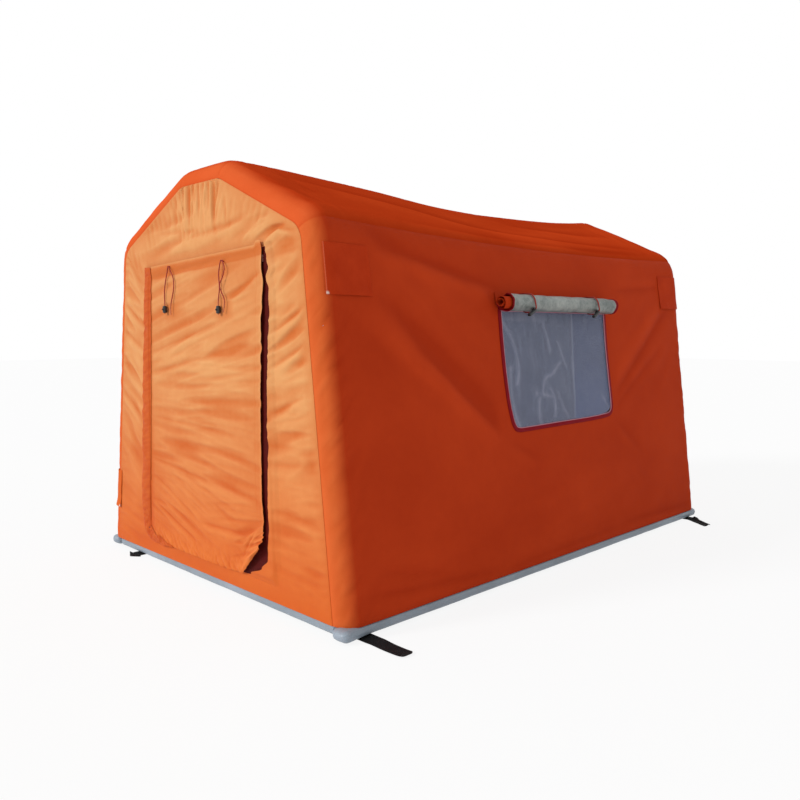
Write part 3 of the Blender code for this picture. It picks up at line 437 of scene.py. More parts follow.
low, high = (Vector(c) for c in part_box("groundsheet"))
across = np.linspace(low.x, high.x, 60)
along = np.linspace(low.y, high.y, 90)
grid_x, grid_y = np.meshgrid(across, along)
inset = -beyond_box(grid_x, grid_y, low.x, high.x, low.y, high.y)
rise = unit(inset / 0.12) * (lattice(grid_x * 4, grid_y * 4, 3) + 0.5) * 0.006
top = np.dstack([grid_x, grid_y, high.z + rise * (inset > 0.11)])
under = np.dstack([grid_x, grid_y, np.full_like(grid_x, low.z)])
groundsheet = cloth_piece("tent_floor", top, under, np.dstack([grid_x, grid_y]), FLOOR_PVC)
dress(groundsheet, "tent", "grey_pvc", "groundsheet")

# Base tubes: low air tubes of grey coated sheet round the floor. The long ones have round bulging ends, and
# the short ones are welded in between them.
BASE_DOME = 0.032
BULGE_OUT, BULGE_FRONT = 0.014, 0.024
TUBE_SIDES = 40
WELDED_END = 0.012
TUBE_POWER = 0.66
BASE_SPREAD = 0.03
PUCKER = 0.0011


def hill(value, middle, width):
    """A smooth bump of height 1 about its middle."""
    return np.exp(-((value - middle) / width) ** 2)


def tube_piece(name, points, places, turn, radius):
    """A closed tube in a CAD node's place, through rings of points at places along it."""
    faces = []
    last_ring = (len(places) - 1) * TUBE_SIDES
    for ring in range(0, last_ring, TUBE_SIDES):
        for a in range(TUBE_SIDES):
            b = (a + 1) % TUBE_SIDES
            faces.append((ring + a, ring + b, ring + TUBE_SIDES + b, ring + TUBE_SIDES + a))
    faces += [tuple(range(TUBE_SIDES)), tuple(range(last_ring, last_ring + TUBE_SIDES))]
    uvs = np.stack([np.repeat(places, TUBE_SIDES), np.tile(turn * radius, len(places))], axis=1)
    return mesh_piece(f"{name}_tube", points.reshape(-1, 3), faces, uvs, PVC)


def base_tube(name, side_axis, domed):
    """An oval tube in its CAD node's box, with puckers where the sheet is gathered at its ends."""
    low, high = (np.array(c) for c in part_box(name))
    run = 1 - side_axis
    length = high[run] - low[run]
    ends = np.linspace(0, 1, 14) ** 1.6 * (BASE_DOME if domed else WELDED_END)
    first = ends[-1] * 1.3
    places = np.concatenate([ends, np.linspace(first, length - first, 180), length - ends[::-1]])
    turn = np.arange(TUBE_SIDES) * 2 * math.pi / TUBE_SIDES
    inward = np.minimum(places, length - places)
    dome = np.sqrt(unit(1 - (1 - unit(inward / ends[-1])) ** 2))
    swell = np.maximum(dome, 0.02 if domed else 0.86)[:, None]
    gather = np.exp(-inward / 0.10)[:, None] * np.sin(turn * 11 + 1.0)[None] * PUCKER
    ripple = lattice(places[:, None] * 9 + 0 * turn, places[:, None] * 0 + turn * 1.2, 11) * 0.0012
    skin = 1 + (gather + ripple - 0.0016) / BASE_SPREAD
    middle = (low + high) / 2
    half = (high - low) / 2
    side = np.sign(np.cos(turn)) * np.abs(np.cos(turn)) ** TUBE_POWER
    rise = np.sign(np.sin(turn)) * np.abs(np.sin(turn)) ** (TUBE_POWER + 0.12)
    points = np.empty((len(places), TUBE_SIDES, 3))
    points[..., run] = low[run] + places[:, None]
    points[..., side_axis] = middle[side_axis] + half[side_axis] * side * swell * skin
    points[..., 2] = middle[2] + half[2] * rise * swell * skin
    if domed:
        outward = np.sign(middle[0])
        bulge = hill(places, 0, 0.075)[:, None]
        share = 1.0 if outward > 0 else 0.25
        points[..., 0] += outward * share * BULGE_OUT * bulge * unit(0.5 + outward * side)
        points[..., 1] -= share * BULGE_FRONT * bulge
    dress(tube_piece(name, points, places, turn, BASE_SPREAD), "tent", "grey_pvc", name)


base_tube("right_base_beam", 0, True)
base_tube("left_base_beam", 0, True)
base_tube("front_base_beam", 1, False)
base_tube("rear_base_beam", 1, False)

# Air arches: two tubes bent at the eaves and the shoulders. They stand on the base ring inside the cover.
FOOT_HALF, EAVE_HALF, TOP_HALF = 0.928, 0.740, 0.160
EAVE_HEIGHT, TOP_HEIGHT = 1.603, 1.865
EAVE_BEND, SHOULDER_BEND = 0.100, 0.130
ARCH_RADIUS = 0.083
ARCH_SKIN = ARCH_RADIUS - 0.0006
COVER_RADIUS = 0.0873
FRONT_Y = 1.5
ARCH_Y = FRONT_Y - COVER_RADIUS
HEM = 0.0520
LEAN = math.atan2(FOOT_HALF - EAVE_HALF, EAVE_HEIGHT)


def bend(corner, before, after, radius, count):
    """Points and ways out round one bend, tangent to both of its straight runs."""
    corner, before, after = (np.array(p) for p in (corner, before, after))
    into = (corner - before) / np.linalg.norm(corner - before)
    away = (after - corner) / np.linalg.norm(after - corner)
    turn = math.acos(into @ away)
    start = corner - into * radius * math.tan(turn / 2)
    first = np.array([into[1], -into[0]])
    angle = math.atan2(first[1], first[0]) + turn * np.linspace(0, 1, count)
    way = np.stack([np.cos(angle), np.sin(angle)], axis=1)
    return start - first * radius + way * radius, way


def run_between(first, last, count):
    """Places between two points, without the points themselves."""
    return first + (last - first) * np.linspace(0, 1, count + 2)[1:-1, None]


EAVE_POINT, SHOULDER_POINT = (EAVE_HALF, EAVE_HEIGHT), (TOP_HALF, TOP_HEIGHT)
eave, eave_way = bend(EAVE_POINT, (FOOT_HALF, 0), SHOULDER_POINT, EAVE_BEND, 13)
shoulder, shoulder_way = bend(SHOULDER_POINT, EAVE_POINT, (0, TOP_HEIGHT), SHOULDER_BEND, 9)
leg_z = np.linspace(HEM, eave[0, 1] - 0.012, 118)
leg = np.stack([FOOT_HALF - math.tan(LEAN) * leg_z, leg_z], axis=1)
leg_way = np.tile([1 / math.cos(LEAN), 0.0], (len(leg), 1))
slope = run_between(eave[-1], shoulder[0], 38)
slope_way = np.tile(eave_way[-1], (len(slope), 1))
crown = run_between(shoulder[-1], np.array([-shoulder[-1, 0], shoulder[-1, 1]]), 14)[:7]
crown_way = np.tile([0.0, 1.0], (len(crown), 1))
half_line = np.concatenate([leg, eave, slope, shoulder, crown])
half_way = np.concatenate([leg_way, eave_way, slope_way, shoulder_way, crown_way])
full_line = np.concatenate([half_line, half_line[::-1] * [-1, 1]])
full_way = np.concatenate([half_way, half_way[::-1] * [-1, 1]])
LEG_END, EAVE_END = len(leg), len(leg) + len(eave)
SLOPE_END = EAVE_END + len(slope)
EAVE_SEAM, SHOULDER_SEAM = LEG_END + 6, SLOPE_END + 4


def run_along(line):
    """How far along a line each of its points is."""
    return np.concatenate([[0], np.cumsum(np.linalg.norm(np.diff(line, axis=0), axis=1))])


def arch_tube(name, y, *sockets):
    """An arch's tube, with a recess for each valve in its legs."""
    turn = np.arange(TUBE_SIDES) * 2 * math.pi / TUBE_SIDES
    line, way = full_line[::2], full_way[::2]
    steps = run_along(line)
    ripple = lattice(steps[:, None] * 7 + 0 * turn, steps[:, None] * 0 + turn * 1.5, 17) * 0.0006
    depth = (ARCH_SKIN + ripple) * np.cos(turn)[None]
    beside = (ARCH_SKIN + ripple) * np.sin(turn)[None]
    points = np.dstack([line[:, :1] + way[:, :1] * depth, y + beside, line[:, 1:] + way[:, 1:] * depth])
    tube = tube_piece(name, points, steps, turn, ARCH_RADIUS)
    for side, z in sockets:
        foot = Vector((side * (FOOT_HALF - math.tan(LEAN) * z), y, z))
        out = Vector((side * math.cos(LEAN), 0, math.sin(LEAN)))
        bpy.ops.object.select_all(action="DESELECT")
        bpy.ops.mesh.primitive_cylinder_add(vertices=48, radius=SOCKET_RADIUS, depth=0.08,
                                            location=foot + out * ARCH_RADIUS,
                                            rotation=out.to_track_quat("Z", "Y").to_euler())
        cutter = bpy.context.object
        bore = tube.modifiers.new("socket", "BOOLEAN")
        bore.object = cutter
        bpy.context.view_layer.objects.active = tube
        bpy.ops.object.modifier_apply(modifier=bore.name)
        bpy.data.objects.remove(cutter)
    dress(tube, "tent", "grey_pvc", name)


UPPER_VALVE, LOWER_VALVE = 1.4398, 0.335
SOCKET_RADIUS = 0.0267
arch_tube("front_arch_beam", -ARCH_Y, (1, UPPER_VALVE), (-1, LOWER_VALVE))
arch_tube("rear_arch_beam", ARCH_Y, (1, UPPER_VALVE))

# Cover walls: orange coated Oxford cloth, cut in panels and sewn over the arches. Between the arches it is
# only held by its own pull, so it sags and shows long creases that run to the window and the patches.
CLOTH = 0.0022
EAVE_SAG, ROOF_SAG = 0.042, 0.062
CLOTH_SAG = ((HEM, 0.0), (0.712, 0.014), (1.290, 0.014), (eave[0, 1], EAVE_SAG), (eave[-1, 1], EAVE_SAG))
ROOF_BOW = ((-1.4127, 0.0), (-1.10, 0.13), (-0.645, 0.42), (-0.222, 0.87), (0.10, 1.0), (0.393, 0.96),
            (0.924, 0.68), (1.22, 0.33), (1.4127, 0.0))
ROOF_EASE = ((0.16, 1), (0.45, 1), (0.70, 0))
SEAM_DIP, SEAM_WIDTH = 0.0024, 0.006
VALVE_HOLE, VALVE_RIM, VALVE_RISE = 0.029, 0.012, 0.0101
LENGTH_STEPS = 190


def eased(value, knots):
    """A value read between knots with an eased change from each to the next."""
    places, levels = np.array(knots).T
    k = np.clip(np.searchsorted(places, value) - 1, 0, len(places) - 2)
    part = unit((value - places[k]) / (places[k + 1] - places[k]))
    return levels[k] + (levels[k + 1] - levels[k]) * part * part * (3 - 2 * part)


sag = eased(half_line[:, 1], CLOTH_SAG)
sag[EAVE_END:] = EAVE_SAG + (ROOF_SAG - EAVE_SAG) * eased(half_line[EAVE_END:, 0], ROOF_EASE)
half_steps = run_along(half_line + half_way * COVER_RADIUS)
turns = np.linspace(0, 1, 13) * WRAP
span_y = np.linspace(-ARCH_Y, ARCH_Y, LENGTH_STEPS)
cover_y = np.concatenate([np.full(12, -ARCH_Y), span_y, np.full(12, ARCH_Y)])
cover_turn = np.concatenate([-turns[:0:-1], 0 * span_y, turns[1:]])
cover_u = cover_y + cover_turn * COVER_RADIUS
bowed = 1 - (cover_y / ARCH_Y) ** 2
ridge = plane_line(ROOF_BOW, 10)
ridge_bow = unit(np.interp(cover_y, ridge[:, 0], ridge[:, 1]))


def cover_points(line, way, drop, height):
    """Places on the cover: wrapped round the arches at its ends, and dropped by the sag between them."""
    roof = unit((EAVE_HALF - np.abs(line[:, :1])) / 0.35)
    bow = bowed * (1 - roof) + ridge_bow * roof
    depth = (COVER_RADIUS + height) * np.cos(cover_turn)[None] - drop[:, None] * bow
    y = cover_y[None] + np.sin(cover_turn)[None] * (COVER_RADIUS + height)
    return np.dstack([line[:, :1] + way[:, :1] * depth, y, line[:, 1:] + way[:, 1:] * depth])


def crease(u, v, start, end, width, depth):
    """A valley with a raised lip below it, from start to end."""
    (u0, v0), (u1, v1) = start, end
    length = math.hypot(u1 - u0, v1 - v0)
    t = ((u - u0) * (u1 - u0) + (v - v0) * (v1 - v0)) / length ** 2
    off = ((v - v0) * (u1 - u0) - (u - u0) * (v1 - v0)) / length
    fade = unit(4 * t * (1 - t)) ** 0.6
    valley = np.exp(-np.abs(off / width) ** 1.4)
    lip = hill(off, -1.9 * width, 1.3 * width)
    return depth * fade * (0.5 * lip - valley)


def folds(u, v, centre, reach, angle, width, length, depth, seed):
    """A field of soft folds in one direction, in an oval region."""
    du, dv = u - centre[0], v - centre[1]
    angle = math.radians(angle)
    along = du * math.cos(angle) + dv * math.sin(angle)
    across = dv * math.cos(angle) - du * math.sin(angle)
    bent = across + 0.6 * width * lattice(along / (1.6 * length), across / (4 * width), seed + 5)
    first = lattice(along / length, bent / width, seed)
    second = lattice(1.7 * along / length, 2.1 * bent / width, seed + 9)
    ridge = unit(1 - 2.6 * np.abs(first)) ** 2
    window = np.exp(-((du / reach[0]) ** 2 + (dv / reach[1]) ** 2) ** 1.5)
    return depth * window * (1.1 * first + 0.45 * second + 0.55 * ridge)


def worn(height, u, v, fields=(), creases=()):
    """Heights with fields of folds and single creases added, one for each row of their shapes."""
    for row in fields:
        height = height + folds(u, v, *row)
    for row in creases:
        height = height + crease(u, v, *row)
    return height


def seamed(height, distance, run, seed, pucker):
    """Heights that dip into a seam and pucker beside it; run is the place along the seam."""
    dip = SEAM_DIP * hill(distance, 0, SEAM_WIDTH)
    wave = lattice(run / 0.022, distance / 0.08, seed)
    wave = wave + 0.6 * lattice(run / 0.011, distance / 0.05, seed + 1)
    near = np.exp(-distance / 0.030) * unit(distance / 0.004)
    return height * unit(distance / 0.03) - dip + pucker * 2 * wave * near


def oxford_finish(name, valley, crest, shine, tube=None, top_sheen=None):
    """Coated Oxford cloth: a basket weave, cloudy dye, painted shade in fold bottoms and light on fold tops.
    """
    made = Finish(name, crest, 0.6, Specular_IOR_Level=shine)
    u, v, _ = made.split(made.uv())
    weave = made.waves(u, 0.0011) * 0.5 + made.waves(v, 0.0011) * 0.5
    cloud = made.noise(3.2, 5.0, 0.62)
    crumple = made.noise(26.0, 6.0, 0.68)
    # Painted shade in the fold bottoms and painted light on the fold tops, mixed with the dye's cloud and
    # crumple.
    shade = (made.attribute("fold") * 0.9 + (cloud - 0.5) * 0.7 + (crumple - 0.5) * 0.35).clamp()
    x, y, z = made.split(made.place())
    # Painted sheen: both colours grow paler and yellower towards the top.
    if top_sheen:
        sheen_rise = ((z - 0.05) * 1.1).clamp()
        valley, crest = (made.mix(sheen_rise, plain, sheened) for plain, sheened in zip((valley, crest), top_sheen))
    colour = made.mix(shade, valley, crest)
    # Painted light: where the cloth turns round an arch to face an end it takes a paler, yellower colour,
    # darkened in its fold bottoms as painted shade.
    if tube:
        lit_wrap_share = ((y.math("ABSOLUTE") - (ARCH_Y + 0.018)) * 20.0).clamp()
        shaded_wrap = tuple(part * share for part, share in zip(tube, (0.86, 0.68, 0.55)))
        colour = made.mix(lit_wrap_share, colour, made.mix(shade, shaded_wrap, tube))
    made.colour(colour)
    made.rough((crumple * 0.22 + 0.46).clamp())
    made.bump(weave * 0.12 + crumple, 0.0016, 0.55)
    return made.made


# Lit and shaded copies of one orange cloth: the ends' copy is paler and yellower as painted sunlight, with a
# painted sheen towards the top; the walls', roof's and left placket's copies are darker and redder as
# painted shade, and their tube colour is painted light where they wrap round the arches to face the ends.
LIT_END_ORANGE = oxford_finish("orange_oxford_lit_ends", (0.57, 0.085, 0.012), (0.71, 0.165, 0.026), 0.08,
                             top_sheen=((0.60, 0.155, 0.034), (0.73, 0.345, 0.130)))
SHADED_PLACKET_ORANGE = oxford_finish("orange_oxford_shaded_placket", (0.50, 0.070, 0.012), (0.66, 0.150, 0.028), 0.08)
SHADED_WALL_ORANGE = oxford_finish("orange_oxford_shaded_walls", (0.46, 0.036, 0.007), (0.61, 0.058, 0.012), 0.02,
                            tube=(0.73, 0.155, 0.040))
SHADED_ROOF_ORANGE = oxford_finish("orange_oxford_shaded_roof", (0.47, 0.036, 0.006), (0.62, 0.060, 0.011), 0.0,
                            tube=(0.74, 0.130, 0.036))


def fold_level(height, depth=0.016):
    """How far each place stands above or below its cloth, from 0 to 1; the finish paints shade into the low
    places and light on the high ones.
    """
    return unit(0.5 + height / depth)


def wall_skin(u, z, out, side=1):
    """A place out metres beyond a side wall's outer face; u runs along the cloth, round the arches too."""
    y = np.clip(u, -ARCH_Y, ARCH_Y)
    turn = np.clip((u - y) / COVER_RADIUS, -WRAP, WRAP)
    beyond = np.clip(np.abs(u - y) - WRAP * COVER_RADIUS, 0, None)
    depth = (COVER_RADIUS + out) * np.cos(turn) - eased(z, CLOTH_SAG) * (1 - (y / ARCH_Y) ** 2)
    x = FOOT_HALF - math.tan(LEAN) * z + depth / math.cos(LEAN) - beyond
    return np.stack([side * x, y + np.sin(turn) * (COVER_RADIUS + out), z + 0 * x], axis=-1)


def cover_panel(name, first, last, height, material, node, side=1, hole=None, valves=()):
    """One sewn panel of the cover between two stations of the arch line, in place of its CAD node.

    A round hole is cut over each valve, whose place is given on the cloth.
    """
    line, way, drop = half_line[first:last + 1], half_way[first:last + 1], sag[first:last + 1]
    run = half_steps[first:last + 1] - half_steps[first]
    u, v = np.meshgrid(cover_u, run)
    outer = cover_points(line, way, drop, height)
    inner = cover_points(line, way, drop, height - CLOTH)
    for skin in (outer, inner):
        skin[..., 0] *= side
    kept = np.ones((len(run) - 1, len(cover_u) - 1), bool) if hole is None else hole.copy()
    z = np.broadcast_to(line[:, 1:], u.shape)
    for valve_u, valve_z in valves:
        away = np.hypot(u - valve_u, z - valve_z)
        near = (away[:-1, :-1] + away[1:, 1:] + away[1:, :-1] + away[:-1, 1:]) / 4 < VALVE_HOLE
        kept &= ~near
        rim = np.zeros(u.shape, bool)
        for rows, columns in ((slice(0, -1), slice(0, -1)), (slice(1, None), slice(1, None)),
                              (slice(0, -1), slice(1, None)), (slice(1, None), slice(0, -1))):
            rim[rows, columns] |= near
        rim &= np.abs(away - VALVE_HOLE) < VALVE_RIM
        ring_u = valve_u + (u - valve_u) * VALVE_HOLE / np.maximum(away, 1e-6)
        ring_z = valve_z + (z - valve_z) * VALVE_HOLE / np.maximum(away, 1e-6)
        for skin, level in ((outer, 0.0), (inner, -CLOTH)):
            skin[rim] = wall_skin(ring_u[rim], ring_z[rim], level, side)
    uv = np.dstack([u, v])
    piece = cloth_piece(name, outer, inner, uv, material, kept, fold=fold_level(height, 0.010))
    dress(piece, "tent", "orange_oxford", node)


def edge_distance(run_v):
    """Places on a panel's cloth, and how far each is from the panel's nearest sewn edge."""
    u, v = np.meshgrid(cover_u, run_v)
    return u, v, -beyond_box(u, v, u[0, 0], u[0, -1], v[0, 0], v[-1, 0])


ARCH_MIDDLE = 1.47
WINDOW_FRONT, WINDOW_REAR = -0.400, 0.570
WINDOW_FOOT, WINDOW_TOP = 0.705, 1.304
WINDOW_EDGE = ((-0.389, 1.304), (-0.390, 1.155), (-0.386, 1.011), (-0.374, 0.867), (-0.357, 0.780),
               (-0.340, 0.738), (-0.310, 0.718), (-0.220, 0.716), (0.043, 0.719), (0.333, 0.722),
               (0.500, 0.729), (0.548, 0.741), (0.566, 0.767), (0.570, 0.805), (0.565, 0.922),
               (0.559, 1.091), (0.563, 1.304))
PATCH_PLACE = (1.217, 1.470)
UPPER_PATCH, LOW_PATCH = (1.33, 1.55), (0.22, 0.45)
BLIND_SEAM_Z, BLIND_SEAM_HALF = 1.39, 0.06
edge_line = plane_line(WINDOW_EDGE, 12)
head_line = edge_line[-1] + (edge_line[0] - edge_line[-1]) * np.linspace(0, 1, 60)[1:-1, None]
WINDOW_RING = np.concatenate([edge_line, head_line])
WINDOW_RING_FOOT = float(edge_line[:, 1].min())


def window_sides(z):
    """Where the window's bound edge runs at a height, in front and behind."""
    foot = int(edge_line[:, 1].argmin())
    left, right = edge_line[:foot + 1][::-1], edge_line[foot:]
    return np.interp(z, left[:, 1], left[:, 0]), np.interp(z, right[:, 1], right[:, 0])


def window_foot(y):
    """The height of the window's lower edge."""
    low = edge_line[(edge_line[:, 1] < 0.745)]
    return np.interp(y, low[:, 0], low[:, 1])


wall_rows = half_line[:EAVE_SEAM + 1, 1]
u, v, seam_gap = edge_distance(half_steps[:EAVE_SEAM + 1])
z = np.broadcast_to(wall_rows[:, None], u.shape)
column = hill(np.abs(u), ARCH_MIDDLE, 0.10)
height = 0.0030 * lattice(u / 0.55, z / 0.40, 21) + 0.0012 * lattice(u / 0.16, z / 0.12, 22)
height = worn(height, u, z, (
    ((-0.85, 1.15), (0.50, 0.40), -38, 0.16, 0.9, 0.0035, 31),
    ((0.98, 1.12), (0.40, 0.40), 38, 0.15, 0.8, 0.0035, 33),
    ((0.0, 0.25), (1.3, 0.20), 2, 0.14, 0.9, 0.0028, 35)), (
    ((-1.23, 1.575), (-0.36, 1.400), 0.026, 0.0095), ((-1.20, 1.360), (-0.42, 0.745), 0.050, 0.0110),
    ((-1.00, 1.150), (-0.40, 0.690), 0.024, 0.0045), ((1.36, 1.380), (0.575, 0.790), 0.034, 0.0080),
    ((1.30, 1.470), (0.70, 1.425), 0.020, 0.0045), ((1.20, 1.10), (0.60, 0.75), 0.024, 0.0040),
    ((-1.38, 0.150), (-0.55, 0.085), 0.022, 0.0050), ((0.55, 0.115), (1.42, 0.095), 0.022, 0.0050),
    ((-0.50, 0.080), (0.60, 0.110), 0.018, 0.0032), ((-1.32, 0.230), (-0.90, 0.150), 0.020, 0.0030),
    ((-0.42, 0.690), (-0.15, 0.560), 0.022, 0.0030), ((0.60, 0.700), (0.85, 0.520), 0.022, 0.0030)))
ticks = lattice(z / 0.055 + np.abs(u) / 0.070, np.abs(u) / 0.10, 41)
wrinkle = 1 - unit(np.abs(lattice(z / 0.085 + np.abs(u) / 0.075, np.abs(u) / 0.25, 47)) * 7)
height = height - column * 0.0038 * wrinkle * unit(lattice(z / 0.12, u / 0.10, 49) * 2 + 0.6)
height = height + column * (0.0040 * ticks + 0.0012 * lattice(z / 0.15, u / 0.05, 43))
window_gap = beyond_box(u, z, WINDOW_FRONT, WINDOW_REAR, WINDOW_FOOT, WINDOW_TOP)
height = height * unit((window_gap - 0.014) / 0.08)
row_z = (wall_rows[:-1, None] + wall_rows[1:, None]) / 2
column_y = (cover_u[None, :-1] + cover_u[None, 1:]) / 2
low_side, high_side = window_sides(row_z[:, 0])
clear = unit(beyond_box(np.abs(u), z, *PATCH_PLACE, *UPPER_PATCH) / 0.03)
height = np.minimum(height, 0.0) * (1 - clear) * 0.2 + height * clear
height = seamed(height, seam_gap, u + v, 45, 0.0010)
seam_band = (np.abs(z - BLIND_SEAM_Z) < BLIND_SEAM_HALF) & (u > -0.46) & (u < 0.73)
height = np.where(seam_band, np.minimum(height, 0.0), height)
beside = (column_y > low_side[:, None]) & (column_y < high_side[:, None])
hole = ~(beside & (row_z > window_foot(column_y)) & (row_z < WINDOW_TOP))
cover_panel("right_wall_cloth", 0, EAVE_SEAM, height, SHADED_WALL_ORANGE, "right_wall", 1, hole,
            [(-ARCH_Y, UPPER_VALVE + VALVE_RISE), (ARCH_Y, UPPER_VALVE + VALVE_RISE)])

height = 0.0035 * lattice(u / 0.55, z / 0.40, 51) + 0.0012 * lattice(u / 0.16, z / 0.12, 52)
height = worn(height, u, z, (((-0.7, 1.0), (0.7, 0.5), 20, 0.15, 0.9, 0.0050, 53),
                             ((0.7, 1.0), (0.7, 0.5), -20, 0.15, 0.9, 0.0050, 55),
                             ((0.0, 0.25), (1.3, 0.20), 2, 0.12, 0.9, 0.0030, 57)))
height = height + column * 0.0045 * lattice(z / 0.055 + np.abs(u) / 0.070, np.abs(u) / 0.10, 59)
by_patch = beyond_box(-u, z, *PATCH_PLACE, *LOW_PATCH) < 0.03
height = np.where(by_patch, np.minimum(height, 0) * 0.2, height)
height = seamed(height, seam_gap, u + v, 61, 0.0010)
cover_panel("left_wall_cloth", 0, EAVE_SEAM, height, SHADED_WALL_ORANGE, "left_wall", -1,
            valves=[(-ARCH_Y, LOWER_VALVE + VALVE_RISE)])

# Cover roof: a slope on each side and a narrow strip along the top, sewn to each other at the shoulders.
# The slack cloth hangs in two or three long soft folds between the arches.
roof_rows = half_steps[EAVE_SEAM:SHOULDER_SEAM + 1]
u, v, seam_gap = edge_distance(roof_rows)
v = v - v[0, 0]
high = v[-1, 0]
for node, side, seed in (("roof_right", 1, 71), ("roof_left", -1, 81)):
    height = worn(0.0040 * lattice(u / 0.50, v / 0.25, seed), u, v, (
        ((0.1, 0.5 * high), (1.5, 0.5), 3, 0.16, 1.3, 0.0050, seed + 1),
        ((-1.36, 0.5 * high), (0.16, 0.5), -80, 0.045, 0.22, 0.0030, seed + 2),
        ((1.36, 0.5 * high), (0.16, 0.5), 80, 0.045, 0.22, 0.0030, seed + 4)), (
        ((-0.95, 0.10), (1.30, 0.055), 0.030, 0.0060), ((-0.20, 0.34), (1.25, 0.16), 0.040, 0.0075),
        ((-1.30, 0.52), (0.10, 0.30), 0.045, 0.0070), ((0.30, 0.52), (1.33, 0.40), 0.036, 0.0060)))
    height = seamed(np.minimum(height, 0.006), seam_gap, u + v, seed + 7, 0.0011)
    cover_panel(f"{node}_cloth", EAVE_SEAM, SHOULDER_SEAM, height, SHADED_ROOF_ORANGE, node, side)

strip_line = np.concatenate([half_line[SHOULDER_SEAM:], half_line[SHOULDER_SEAM:][::-1] * [-1, 1]])
strip_way = np.concatenate([half_way[SHOULDER_SEAM:], half_way[SHOULDER_SEAM:][::-1] * [-1, 1]])
strip_sag = np.full(len(strip_line), ROOF_SAG)
strip_run = run_along(strip_line + strip_way * COVER_RADIUS)
u, v, seam_gap = edge_distance(strip_run)
height = 0.0022 * lattice(u / 0.40, v / 0.20, 91)
height = height + folds(u, v, (0, 0.15), (1.6, 0.4), 4, 0.10, 0.8, 0.0030, 92)
height = seamed(np.minimum(height, 0.003), seam_gap, u + v, 95, 0.0011)
outer = cover_points(strip_line, strip_way, strip_sag, height)
inner = cover_points(strip_line, strip_way, strip_sag, height - CLOTH)
uv = np.dstack([u, v])
top_strip = cloth_piece("roof_top_cloth", outer, inner, uv, SHADED_ROOF_ORANGE, fold=fold_level(height))
dress(top_strip, "tent", "orange_oxford", "roof_top")

# Cover ends: a flat panel with the doorway in front and a closed one behind, gathered along their seam with
# the cover's wrap. The front panel's slack hangs in slanting folds on both sides of the doorway.
DOOR_FOOT, DOOR_TOP = 0.150, 1.520
DOOR_HALF_FOOT, DOOR_TAPER = 0.520, 0.050
DOOR_MEAN = 2 * DOOR_HALF_FOOT - DOOR_TAPER
PANEL_AREA = 2.85
ROOF_PITCH, HEAD_SLANT = 0.452, 0.045
SEAM_ROOM = 0.0006


def door_half(z):
    """Half the doorway's width at a height."""
    rise = np.clip(z, DOOR_FOOT, DOOR_TOP) - DOOR_FOOT
    return DOOR_HALF_FOOT - DOOR_TAPER * rise / (DOOR_TOP - DOOR_FOOT)


rising = half_line[:SLOPE_END + 9]
end_z = np.concatenate([np.linspace(HEM, DOOR_FOOT, 13), np.linspace(DOOR_FOOT, DOOR_TOP, 184)[1:],
                        np.linspace(DOOR_TOP, TOP_HEIGHT - SEAM_ROOM, 48)[1:]])
end_edge = np.interp(end_z, rising[:, 1], rising[:, 0]) - SEAM_ROOM
end_door = np.where(end_z < DOOR_TOP, door_half(end_z), 0.627 * end_edge)
DOOR_ROW, DOOR_TOP_ROW = 12, 195
side_part = np.linspace(0, 1, 49)
door_part = np.linspace(-1, 1, 133)
SIDE_COLUMNS, DOOR_COLUMNS = len(side_part) - 1, len(door_part) - 1
left_part = -end_edge[:, None] * (1 - side_part) - end_door[:, None] * side_part
right_part = end_door[:, None] * (1 - side_part) + end_edge[:, None] * side_part
end_x = np.concatenate([left_part[:, :-1], end_door[:, None] * door_part, right_part[:, 1:]], axis=1)
end_z = np.broadcast_to(end_z[:, None], end_x.shape)
seam_line = full_line[(full_line[:, 1] > HEM - 0.001)]
seam_run = run_along(seam_line)
places = np.stack([end_x.ravel(), end_z.ravel()], axis=1)
nearest = np.array([np.hypot(*(seam_line - place).T).argmin() for place in places]).reshape(end_x.shape)
before = seam_line[np.maximum(nearest - 1, 0)]
after = seam_line[np.minimum(nearest + 1, len(seam_line) - 1)]
along = (after - before) / np.linalg.norm(after - before, axis=-1, keepdims=True)
apart_x, apart_z = end_x - seam_line[nearest, 0], end_z - seam_line[nearest, 1]
seam_gap = np.abs(apart_x * along[..., 1] - apart_z * along[..., 0])
near_run = seam_run[nearest] + apart_x * along[..., 0] + apart_z * along[..., 1]
tube_depth = ARCH_Y + np.sqrt(np.clip(ARCH_RADIUS ** 2 - seam_gap ** 2, 0, None)) - FRONT_Y
inner_limit = np.where(seam_gap < ARCH_RADIUS, tube_depth, -0.05) + 0.001 + CLOTH


def end_panel(name, side, height, node, hole=None):
    """An end panel in place of its CAD node; height is how far it stands out of the end's plane."""
    height = np.maximum(height, inner_limit)
    z = head_skew(end_x, end_z) if side < 0 else end_z
    outer = np.dstack([end_x, side * (FRONT_Y + height), z])
    inner = np.dstack([end_x, side * (FRONT_Y + height - CLOTH), z])
    uv = np.dstack([end_x, end_z])
    piece = cloth_piece(name, outer, inner, uv, LIT_END_ORANGE, hole, fold=fold_level(height, 0.011))
    dress(piece, "tent", "orange_oxford", node)
    room = 0 if hole is None else DOOR_MEAN * (DOOR_TOP - DOOR_FOOT)
    round(PANEL_AREA - room, 3)


